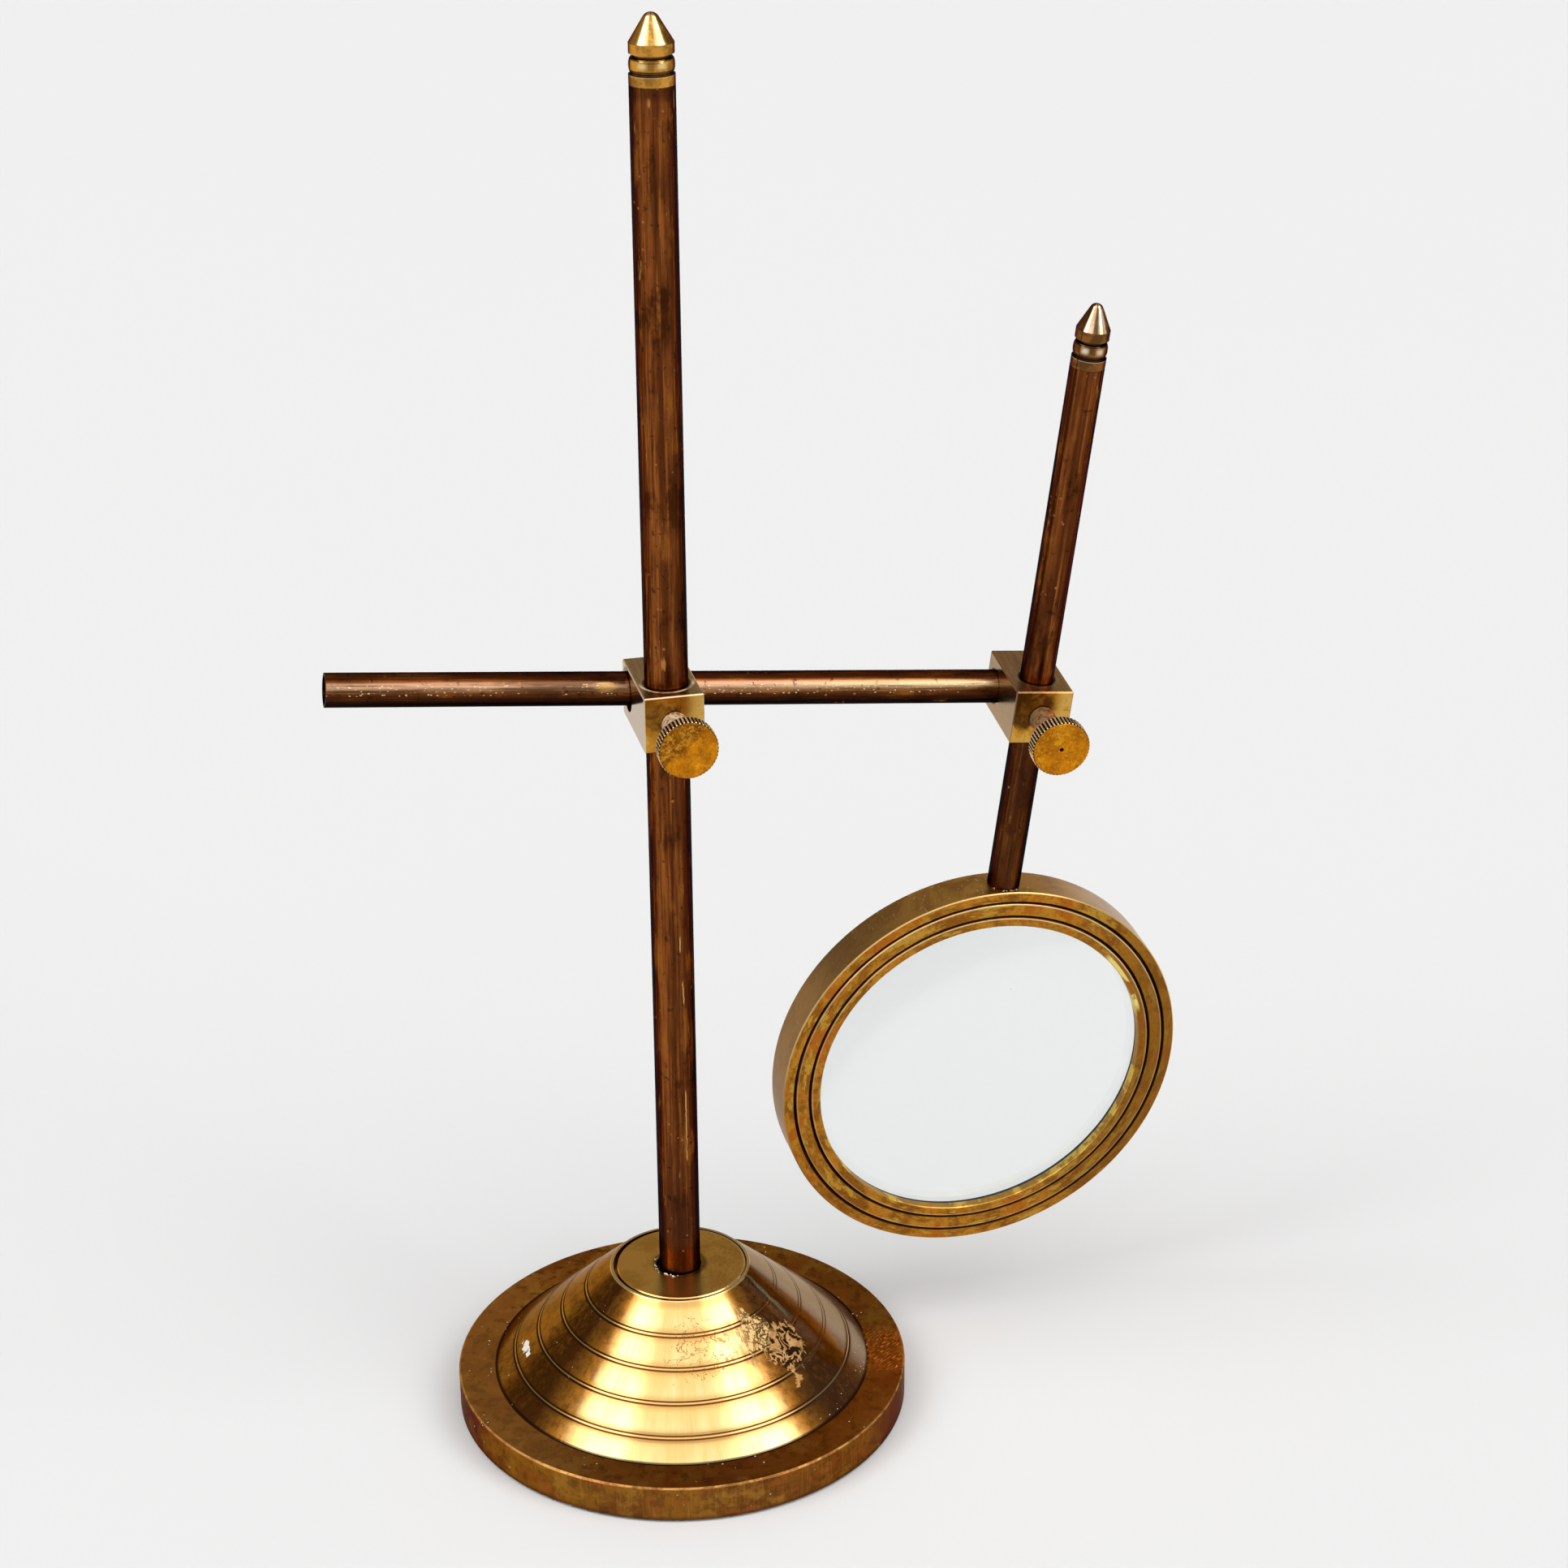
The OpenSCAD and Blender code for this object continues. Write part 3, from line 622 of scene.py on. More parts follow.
class BASE_OT_underside(bpy.types.Operator):
    """Felt, iron weight and screws of the base"""

    bl_idname = "lens_stand.base_underside"
    bl_label = "Felt, weight and screws"

    def execute(self, context):
        felt = Metal("felt", Roughness=0.95, Sheen_Weight=0.35, Sheen_Roughness=0.6)
        p = felt.place()
        wool = felt.noise(p, scale=1400, detail=5, rough=0.75, warp=1.5)
        lint = felt.noise(p, scale=240, detail=3)
        tone = felt.mix(wool, (0.006, 0.009, 0.007), (0.03, 0.04, 0.032))
        felt.set(Base_Color=felt.mix(lint.above(0.62, 0.74) * 0.5, tone, (0.1, 0.1, 0.09)))
        felt.bump(wool, 0.5 * MM, 0.8).onto("base_felt")

        iron = Metal("iron", Metallic=0.85)
        p = iron.place()
        scale = iron.noise(p, scale=120, detail=6, rough=0.7)
        rust = iron.noise(p, scale=45, detail=5).above(0.52, 0.66)
        tone = iron.mix(scale, (0.035, 0.034, 0.033), (0.11, 0.1, 0.095))
        iron.set(Base_Color=iron.mix(rust * 0.7, tone, (0.11, 0.04, 0.016)), Roughness=0.55 + scale * 0.3)
        iron.bump(scale, 0.4 * MM, 0.6).onto("base_weight")

        two_tone(
            "screw_steel",
            ("base_screws", "post_foot_stud", "post_foot_washer", "post_foot_nut", "lens_ring_stud"),
            ((0.3, 0.3, 0.29), (0.52, 0.51, 0.49)),
            {"detail": 4},
            scales=(900, 900, 60),
            rough=(0.28, 0.2),
            relief=(0.05 * MM, 0.5),
            Metallic=1.0,
        )
        return {"FINISHED"}


# Tubes


def post_wear(m, p, turn, along, streaks, fine, clouds):
    """Reddish foot, dark lower part, gold scratches and two smudges."""
    coats = [
        (along.below(59.0, 60.2, MM) * clouds.above(0.42, 0.54) * 0.7, (0.36, 0.12, 0.07)),
        (along.below(72, 125, MM) * 0.6, (0.045, 0.013, 0.005)),
    ]
    wander = (m.noise(m.join(0.0, 0.0, along * 160), detail=3) - 0.5) * 0.03
    for middle, low, high in ((-0.205, 110, 138), (-0.207, 178, 185), (-0.225, 200, 204)):
        scratch = abs(turn + wander - middle).below(0.0022, 0.006) * fine.above(0.34, 0.46)
        scratch = scratch * along.above(low - 2, low, MM) * along.below(high, high + 2, MM)
        coats.append((scratch * 0.85, (0.7, 0.42, 0.13)))
    for x, y, z, reach in ((-0.0022, -0.0077, 0.315, 1.3), (-0.0027, -0.0075, 0.5168, 0.9)):
        near = m.distance(m.stretch(p, 1, 1, 0.5), (x, y, z * 0.5)) + (fine - 0.5) * 0.004
        coats.append((near.below(reach * 0.4, reach, MM) * 0.8, (0.52, 0.23, 0.05)))
    return coats + [(along.above(516, 519, MM) * 0.5, (0.036, 0.01, 0.002))]


def cross_wear_and_highlight(m, p, turn, along, streaks, fine, clouds):
    """A pale band along the front, which is a painted highlight, pricked and nicked, over a dark underside
    that is painted shade.
    """
    spread = 0.2 + (streaks * 0.5 + clouds * 0.35 + fine * 0.25).above(0.47, 0.62) * 0.8
    rubbed_and_highlit = m.mix(along.above(25, 95, MM), (0.6, 0.36, 0.22), (0.68, 0.49, 0.27))
    pricks = m.cells(m.stretch(p, 0.6, 1, 1), scale=900).below(0.16, 0.27) * clouds.above(0.42, 0.52)
    nicks = m.cells(m.stretch(p, 1.6, 0.5, 0.5), scale=520).below(0.07, 0.13) * clouds.above(0.42, 0.5)
    near = m.distance(m.stretch(p, 0.5, 1, 1), (-0.01, -0.0057, 0.0029)) + (fine - 0.5) * 0.006
    return [
        # The pale band with its darker edges is a painted highlight of the front light.
        (turn.near(0.446, 0.02, 0.024) * spread * 0.7, (0.42, 0.2, 0.075)),
        (turn.near(0.413, 0.024, 0.028) * spread * 0.9, rubbed_and_highlit),
        (turn.near(0.375, 0.01, 0.016) * spread * 0.6, (0.34, 0.095, 0.028)),
        (pricks * turn.near(0.455, 0.045, 0.025) * 0.8, (0.86, 0.62, 0.36)),
        (nicks * turn.near(0.45, 0.06, 0.03) * 0.7, (0.03, 0.01, 0.003)),
        # Painted shade along the underside.
        (turn.near(-0.41, 0.05, 0.03) * 0.8, (0.01, 0.004, 0.002)),
        (near.below(1.0, 2.4, MM) * 0.75, (0.72, 0.42, 0.14)),
    ]


def hanging_wear(m, p, turn, along, streaks, fine, clouds):
    """A darker part below the clamp."""
    return [(along.below(-14, -10, MM) * 0.55, (0.034, 0.011, 0.003))]


def tube(copper, node, tilt, axis, reflection_bands):
    m = Metal(node + "_copper", Metallic=1.0, Specular_Tint=(0.04, 0.015, 0.008), Coat_Roughness=0.18)
    p = m.place(tilt)
    _, turn, along, _, _ = m.polar(p, axis)
    long = {"Z": (260, 260, 7), "X": (7, 260, 260)}[axis]
    patch = {"Z": (110, 110, 30), "X": (30, 110, 110)}[axis]
    streaks = m.noise(m.stretch(p, *long), detail=6, rough=0.68)
    fine = m.noise(m.stretch(p, *[v * 4 for v in long]), detail=4, rough=0.6)
    clouds = m.noise(m.stretch(p, *patch), detail=6, rough=0.66)
    blotch = m.noise(p, scale=46, detail=6, rough=0.68)
    drift = m.noise(m.stretch(p, *[v * 0.35 for v in long]), detail=3)
    worn = m.noise(m.stretch(p, *[v**0.5 * 16 for v in long]), detail=5, rough=0.7)
    specks = m.cells(p, scale=260).below(0.1, 0.17) * blotch.above(0.52, 0.58)
    grime = m.noise(p, scale=380, detail=4).above(0.6, 0.7)
    coats = [((streaks + fine * 0.4).above(0.66, 0.96) * 0.5, copper.streak_and_reflection)]
    # Stripes at fixed turns round the tube, patchy with the clouds, painted as reflections of the soft
    # boxes.
    for middle, half, soft, strength in reflection_bands:
        band = abs(turn - middle + (drift - 0.5) * 0.03).below(half, half + soft)
        coats.append((band * strength * (0.1 + clouds.above(0.34, 0.6) * 0.9), copper.streak_and_reflection))
    coats += [
        (clouds.above(0.54, 0.66) * 0.6, (0.33, 0.11, 0.015)),
        (fine.below(0.4, 0.52) * 0.55, (0.05, 0.013, 0.003)),
        (fine.above(0.56, 0.66) * streaks.above(0.48, 0.58) * 0.5, (0.4, 0.135, 0.022)),
        ((blotch * 0.5 + clouds * 0.5).below(0.4, 0.47) * 0.7, (0.034, 0.008, 0.0015)),
    ]
    wear_and_painted_light = {"post_tube": post_wear, "cross_rod": cross_wear_and_highlight, "lens_rod": hanging_wear}[node]
    coats += wear_and_painted_light(m, p, turn, along, streaks, fine, clouds)
    coats += [
        (worn.above(0.63, 0.7) * fine.above(0.38, 0.56) * 0.7, copper.gold),
        (specks * 0.7, (0.4, 0.17, 0.06)),
        (grime * 0.6, (0.018, 0.006, 0.002)),
    ]
    m.set(
        Base_Color=m.layers(copper.dark, *coats),
        Roughness=0.17 + streaks * 0.14 + grime * 0.15 + fine * 0.05,
        Coat_Weight=0.02 + blotch * 0.06,
    )
    m.bump(fine * 0.6 + streaks * 0.4 + grime * 0.3, 0.06 * MM, 0.5)
    m.onto(node)


class TUBE_OT_copper(bpy.types.Operator):
    """Copper-toned tubes with lengthwise streaks, golden worn smudges and dark specks, and stripes of
    painted reflection along them
    """

    bl_idname = "lens_stand.tubes"
    bl_label = "Copper tubes"

    def execute(self, context):
        copper = context.scene.stand_copper
        # Painted reflection stripes of each tube: turn, half width, soft edge and strength.
        left, right = (-0.345, 0.028, 0.045, 1.0), (-0.226, 0.014, 0.05, 0.6)
        tube(copper, "post_tube", "upright", "Z", (left, right))
        upper, lower = (0.3, 0.02, 0.08, 0.45), (0.49, 0.02, 0.05, 0.35)
        tube(copper, "cross_rod", "cross", "X", (upper, lower))
        left, right = (-0.345, 0.02, 0.05, 0.75), (-0.224, 0.02, 0.05, 0.6)
        tube(copper, "lens_rod", "hanging", "Z", (left, right))
        return {"FINISHED"}


def finial(node, tilt, foot, tube_radius, light, shine):
    m = Metal(node + "_brass", Metallic=1.0, Coat_Roughness=0.15, Specular_Tint=(0.12, 0.05, 0.025))
    p = m.place(tilt)
    radius, turn, height, x, y = m.polar(p)
    z = height - foot * MM
    turned = m.noise(m.around(x, y, radius, 5, z * 4200), detail=3)
    cloud = m.noise(p, scale=140, detail=6, rough=0.66)
    aside = abs(m.from_front(turn)) + (cloud - 0.5) * 0.02
    gold = m.mix(cloud.above(0.42, 0.58), light, tuple(v * 0.45 for v in light))
    # Painted highlight: the pale sheen on the front of the cone and the glints on the bead stand for
    # reflections of the soft boxes.
    sheen = m.mix(cloud.above(0.46, 0.62) * 0.6, shine, (0.58, 0.32, 0.1))
    sheen = m.mix(aside.below(0.014, 0.036) * 0.9, sheen, gold)
    cone = z.above(14.1, 14.25, MM)
    glint = aside.near(0.072, 0.008, 0.045) * z.near(7.4, 0.2, 1.6, MM)
    deep = radius.below(tube_radius - 1.1, tube_radius - 0.55, MM) * z.below(10, 10.4, MM)
    grooves = ((0.0, 0.1), (3.95, 0.3), (5.0, 0.35), (9.3, 0.3))
    tone = m.layers(
        gold,
        (cone * aside.below(0.095, 0.135), sheen),
        (glint * (0.45 + cloud * 0.8), shine),
        # Painted shade at the sides.
        (aside.above(0.165, 0.215) * 0.6, (0.17, 0.055, 0.012)),
        (deep * 0.92, GRIME),
        *[(z.near(rise, half, 0.22, MM) * 0.85, GRIME) for rise, half in grooves],
        (z.near(3.55, 0.06, 0.14, MM) * 0.6, (0.62, 0.46, 0.3)),
        (z.near(14.2, 0.05, 0.16, MM) * 0.5, (0.14, 0.06, 0.02)),
    )
    m.set(Base_Color=tone, Roughness=0.1 + cloud * 0.12, Coat_Weight=0.05 + cloud * 0.1)
    m.bump(turned * 0.5 + cloud * 0.3, 0.05 * MM, 0.4)
    m.onto(node)


class TUBE_OT_finials(bpy.types.Operator):
    """Gold-bronze turned finials with dark grooves, painted highlights on the cone and bead, and painted
    shade at the sides
    """

    bl_idname = "lens_stand.finials"
    bl_label = "Finials"

    def execute(self, context):
        # For each finial: its gold tone, then the colour of its painted highlights.
        light, shine = (0.64, 0.3, 0.045), (0.86, 0.64, 0.27)
        finial("post_finial", "upright", POST_TOP, 8.0, light, shine)
        light, shine = (0.25, 0.1, 0.022), (0.86, 0.68, 0.48)
        finial("lens_rod_finial", "hanging", LENS_ROD_TOP, 6.35, light, shine)
        return {"FINISHED"}


# Clamps


def block(brass, node, tilt, centre, face, bores, rubbed_and_highlit, dark_patch_at, flank_tone, edge_tone, top_tone):
    m = Metal(node + "_brass", Metallic=1.0, Coat_Roughness=0.2, Specular_Tint=(0.8, 0.7, 0.6))
    p = m.place(tilt, centre)
    x, y, z = m.split(p)
    radius = hypot(x, y)
    edge_x = abs(x).above(BLOCK_HALF_WIDTH - CHAMFER[0], BLOCK_HALF_WIDTH - CHAMFER[1], MM)
    edge_z = abs(z).above(BLOCK_HALF_HEIGHT - CHAMFER[0], BLOCK_HALF_HEIGHT - CHAMFER[1], MM)
    front = y.below(face + CHAMFER[1], face + CHAMFER[0], MM)
    chamfer = (edge_x * edge_z + edge_z * front + edge_x * front).above(0.3, 0.9)
    flank = edge_x * (1 - chamfer)
    top = edge_z * (1 - chamfer)
    stain = m.noise(p, scale=125, detail=6, rough=0.66, warp=0.5)
    grain = m.noise(p, scale=900, detail=4, rough=0.7)
    brushed = m.noise(m.stretch(p, 1900, 60, 1900), detail=3)
    # Darker round a given point on the front: across, height, reach and weight.
    patch_x, patch_z, reach, weight = dark_patch_at
    dark_patch = m.distance(m.join(x * 0.85, 0.0, z), (patch_x * MM, 0.0, patch_z * MM)).below(3, reach, MM)
    dark = (stain * 0.68 + dark_patch * weight + grain * 0.24).above(0.54, 0.78)
    bore, cross_bore = bores
    mouth = hypot(*m.split(m.place("cross"))[1:3]).below(cross_bore + 0.25, cross_bore + 0.7, MM)
    ring = radius.near(bore + 1.7, 0.2, 0.7, MM) * top * rubbed_and_highlit * y.below(-3, 3, MM)
    ring = ring * (0.35 + stain.above(0.42, 0.54) * 0.65)
    lip = radius.below(bore + 0.5, bore + 0.95, MM) * top
    flank_tones = m.mix(brushed, flank_tone, tuple(v * 0.8 for v in flank_tone))
    top_tones = m.mix(brushed.above(0.35, 0.65), top_tone, tuple(v * 0.62 for v in top_tone))
    tone = m.layers(
        brass.golden,
        (dark * 0.92, brass.mottle),
        (stain.below(0.38, 0.52) * (1 - dark_patch * 0.7) * 0.6, (0.74, 0.45, 0.085)),
        (x.above(3.5, 7.5, MM) * stain.below(0.54, 0.66) * 0.7, (0.7, 0.44, 0.105)),
        (flank * 0.9, flank_tones),
        (mouth * flank, (0.012, 0.006, 0.003)),
        (top * 0.85, top_tones),
        (ring, (0.9, 0.62, 0.34)),
        (lip * 0.95, (0.016, 0.008, 0.004)),
        (grain.above(0.58, 0.7) * 0.4, (0.085, 0.038, 0.01)),
        (chamfer * (0.35 + grain * 0.5), edge_tone),
    )
    m.set(
        Base_Color=tone,
        Metallic=1 - ring * 0.7,
        Roughness=0.24 + grain * 0.16 - chamfer * 0.04 + dark * 0.08 - flank * 0.18,
        Coat_Weight=0.02 + stain * 0.05,
    )
    m.bump((brushed * 0.5 + grain * 0.3) * (1 - flank * 0.8) + dark * 0.15, 0.06 * MM, 0.45)
    m.onto(node)


class CLAMP_OT_blocks(bpy.types.Operator):
    """Square-bar clamp blocks: mottled golden fronts, brushed tops, pale sides and bright chamfers"""

    bl_idname = "lens_stand.blocks"
    bl_label = "Clamp blocks"

    def execute(self, context):
        brass = context.scene.stand_brass
        block(
            brass, "post_clamp_block", "upright", "post_block",
            face=-13.66, bores=(8.06, 7.65), rubbed_and_highlit=1.0, dark_patch_at=(-3.0, 3.0, 9, 0.3),
            flank_tone=(0.74, 0.7, 0.63), edge_tone=(0.74, 0.66, 0.54), top_tone=(0.44, 0.27, 0.12),
        )
        block(
            brass, "lens_clamp_block", "hanging", "hanging",
            face=-12.01, bores=(6.41, 6.41), rubbed_and_highlit=0.1, dark_patch_at=(-4.8, 3.6, 13, 0.4),
            flank_tone=(0.46, 0.34, 0.22), edge_tone=(0.21, 0.125, 0.07), top_tone=(0.46, 0.25, 0.105),
        )
        return {"FINISHED"}


def screw(brass, node, tilt, centre, face, grainy, drilled, rubbed_and_highlit):
    m = Metal(node + "_brass", Metallic=1.0, Coat_Roughness=0.3, Specular_Tint=(0.6, 0.4, 0.25))
    p = m.place(tilt, centre)
    radius, _, y, x, z = m.polar(p, "Y")
    cloud = m.noise(p, scale=150, detail=6, rough=0.66)
    grain = m.noise(p, scale=1100, detail=4, rough=0.75)
    spots = m.noise(p, scale=760, detail=3, rough=0.6)
    turned = m.noise(m.around(x, z, radius, 4, radius * 5200 + y * 900), detail=2)
    on_face = y.below(face + 0.08, face + 0.2, MM)
    behind = 1 - on_face
    upper = (z - x * 0.9 + (cloud - 0.5) * 0.014).above(-1, 6, MM) * on_face * grainy
    neck = radius.below(5.1, 5.4, MM) * behind
    # The neck is painted pale as a highlight, with brown patches.
    neck_tones = m.mix((spots * 0.6 + cloud * 0.4).above(0.47, 0.56), rubbed_and_highlit, (0.46, 0.22, 0.09))
    knurls = radius.above(KNOB_RADIUS - 0.8, KNOB_RADIUS - 0.6, MM) * behind
    tips = knurls * radius.above(KNOB_RADIUS - 0.3, KNOB_RADIUS - 0.2, MM)
    back = radius.near(7.8, 2.3, 0.4, MM) * behind
    hole = radius.below(0.72, 0.86, MM) * drilled
    tone = m.layers(
        brass.ochre,
        (cloud.above(0.42, 0.6) * 0.8, (0.42, 0.135, 0.005)),
        (cloud.below(0.38, 0.44) * 0.6, (0.78, 0.4, 0.02)),
        (upper * 0.85, (0.19, 0.06, 0.004)),
        (upper * spots.above(0.52, 0.58) * 0.75, (0.66, 0.31, 0.035)),
        (upper * spots.below(0.42, 0.48) * 0.6, (0.13, 0.04, 0.004)),
        (grain.above(0.54, 0.64) * 0.6, (0.22, 0.075, 0.004)),
        (grain.below(0.36, 0.44) * 0.4, (0.86, 0.5, 0.06)),
        (neck * 0.9, neck_tones),
        (knurls, GRIME),
        (tips * 0.97, (0.98, 0.76, 0.46)),
        (back * 0.6, (0.1, 0.045, 0.012)),
        (hole * 0.95, (0.006, 0.004, 0.002)),
    )
    m.set(
        Base_Color=tone,
        Metallic=1 - neck * (0.55 - drilled * 0.4),
        Roughness=0.36 + grain * 0.2 - neck * 0.14 - knurls * 0.1,
        Coat_Weight=cloud * 0.03,
    )
    m.bump(turned * 0.4 + grain * 0.35 + spots * upper * 0.5, 0.06 * MM, 0.5)
    m.onto(node)


class CLAMP_OT_thumbscrews(bpy.types.Operator):
    """Matte ochre thumbscrews, with worn bright knurls and grime between them, and necks painted pale as a
    highlight
    """

    bl_idname = "lens_stand.thumbscrews"
    bl_label = "Thumbscrews"

    def execute(self, context):
        brass = context.scene.stand_brass
        screw(
            brass, "post_thumbscrew", "upright", "post_block",
            face=-38.66, grainy=0.85, drilled=0.0, rubbed_and_highlit=(1.0, 0.88, 0.68),
        )
        screw(
            brass, "lens_thumbscrew", "hanging", "hanging",
            face=-37.01, grainy=0.2, drilled=1.0, rubbed_and_highlit=(0.86, 0.6, 0.35),
        )
        return {"FINISHED"}


class CLAMP_OT_inner(bpy.types.Operator):
    """Lock pins, pads and plugs inside the clamps and tubes"""

    bl_idname = "lens_stand.inner"
    bl_label = "Pins, pads and plugs"

    def execute(self, context):
        two_tone(
            "pin_brass",
            ("post_lock_pin", "lens_lock_pin", "post_foot_plug", "lens_rod_plug"),
            ((0.34, 0.19, 0.05), (0.58, 0.38, 0.14)),
            {"scale": 420, "detail": 4},
            rough=(0.25, 0.2),
            relief=(0.05 * MM, 0.4),
            Metallic=1.0,
        )
        two_tone(
            "pad_fibre",
            ("post_clamp_pad", "lens_clamp_pad"),
            ((0.12, 0.035, 0.018), (0.26, 0.09, 0.045)),
            {"detail": 5, "rough": 0.7},
            scales=(900, 2600, 900),
            relief=(0.1 * MM, 0.6),
            Roughness=0.8,
        )
        return {"FINISHED"}


# Lens


def ring_finish(brass):
    m = Metal("ring_brass", Metallic=1.0, Coat_Roughness=0.22, Specular_Tint=(0.95, 0.86, 0.76))
    p = m.place("ring")
    radius, turn, y, x, z = m.polar(p, "Y")
    cloud = m.noise(p, scale=60, detail=6, rough=0.68, warp=0.5)
    patches = m.noise(m.around(x, z, radius, 30, radius * 230 + y * 60), detail=6, rough=0.64)
    grain = m.noise(p, scale=620, detail=4, rough=0.7)
    turned = m.noise(m.around(x, z, radius, 6, radius * 5200 + y * 400), detail=2)
    brushed = m.noise(m.around(x, z, radius, 60, y * 2600), detail=3)
    scuffs = m.noise(m.join(x * 900 + z * 900, (z - x) * 90, y * 400), detail=2).above(0.64, 0.69)
    front = y.below(-7.9, -7.75, MM)
    outer = radius.above(RING_RADIUS - 0.25, RING_RADIUS - 0.1, MM)
    inner = radius.below(RING_OPENING + 0.25, RING_OPENING + 0.4, MM)
    edge = radius.near(RING_RADIUS - 0.2, 0.18, 0.12, MM) * y.below(-7.6, -7.5, MM)
    grooves, lip_highlights = (
        radius.near(RING_GROOVES[0] - inset, half, soft, MM)
        | radius.near(RING_GROOVES[1] - inset, half, soft, MM)
        for inset, half, soft in ((0.0, 0.42, 0.3), (0.9, 0.16, 0.16))
    )
    grooves = grooves * y.below(-7.0, -6.9, MM)
    # Bright shoulders beside the grooves, stronger towards the top, are painted highlights.
    lip_highlights = lip_highlights * front * (0.25 + z.above(10, 60, MM) * 0.55)
    spill = turn.near(0.095, 0.03, 0.012) * radius.below(RING_OPENING + 1.7, RING_OPENING + 2.0, MM)
    side = m.layers(
        m.mix(cloud.above(0.4, 0.62), (0.6, 0.29, 0.055), (0.38, 0.16, 0.026)),
        (brushed.above(0.5, 0.7) * 0.5, (0.62, 0.36, 0.09)),
        (scuffs * cloud.above(0.42, 0.48) * 0.7, (0.85, 0.62, 0.26)),
        # Paler grey over the upper right of the side: painted reflection of the pale backdrop.
        (x.above(5, 55, MM) * z.above(10, 50, MM) * 0.7, (0.56, 0.47, 0.4)),
        (x.below(-70, -20, MM) * 0.85, (0.2, 0.105, 0.034)),
    )
    tone = m.layers(
        brass.golden,
        ((cloud * 0.6 + patches * 0.5).above(0.5, 0.6), (0.27, 0.095, 0.009)),
        (patches.above(0.53, 0.61) * 0.8, (0.58, 0.33, 0.042)),
        (cloud.below(0.4, 0.48) * 0.8, (0.4, 0.105, 0.009)),
        (grain.above(0.54, 0.66) * 0.55, (0.11, 0.04, 0.004)),
        (x.above(25, 70, MM) * 0.6, (0.17, 0.066, 0.009)),
        (outer * 0.92, side),
        (inner * 0.5, (0.52, 0.32, 0.08)),
        (inner * patches.above(0.52, 0.6), (0.78, 0.52, 0.1)),
        (lip_highlights * (0.45 + grain * 0.6), (0.98, 0.8, 0.48)),
        (spill * patches.above(0.42, 0.48) * 0.8, (0.98, 0.8, 0.26)),
        (grooves * 0.95, (0.02, 0.009, 0.003)),
        (edge * (0.45 + grain * 0.6), brass.bright),
    )
    m.set(
        Base_Color=tone,
        Roughness=0.23 + grain * 0.18 + grooves * 0.3 + cloud * 0.06,
        Coat_Weight=cloud * 0.06,
    )
    m.bump(turned * front * 0.4 + brushed * outer * 0.5 + grain * 0.25 + patches * 0.15, 0.06 * MM, 0.45)
    m.onto("lens_ring", "lens_retaining_ring")

    two_tone(
        "gasket",
        ("lens_front_gasket", "lens_rear_gasket"),
        ((0.008, 0.01, 0.012), (0.035, 0.045, 0.055)),
        {"scale": 700, "detail": 4},
        tilt="ring",
        relief=(0.1 * MM, 0.5),
        Roughness=0.7,
        Specular_IOR_Level=0.25,
    )


class LENS_OT_ring(bpy.types.Operator):
    """Golden-brown ring and retaining ring, mottled faces and a brushed side, and the gaskets, with painted
    highlights beside the grooves and a painted reflection on the side
    """

    bl_idname = "lens_stand.ring"
    bl_label = "Lens ring"

    def execute(self, context):
        ring_finish(context.scene.stand_brass)
        return {"FINISHED"}


def object_from(name, mesh_maker):
    """Builds a mesh with bmesh and puts it in the scene."""
    bm = bmesh.new()
    mesh_maker(bm)
    data = bpy.data.meshes.new(name)
    bm.to_mesh(data)
    bm.free()
    made = bpy.data.objects.new(name, data)
    bpy.context.scene.collection.objects.link(made)
    return made


def piece_from(name, mesh_maker, body):
    """Builds a piece that rides on a body."""
    piece = object_from(name, mesh_maker)
    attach(piece, body)
    return piece


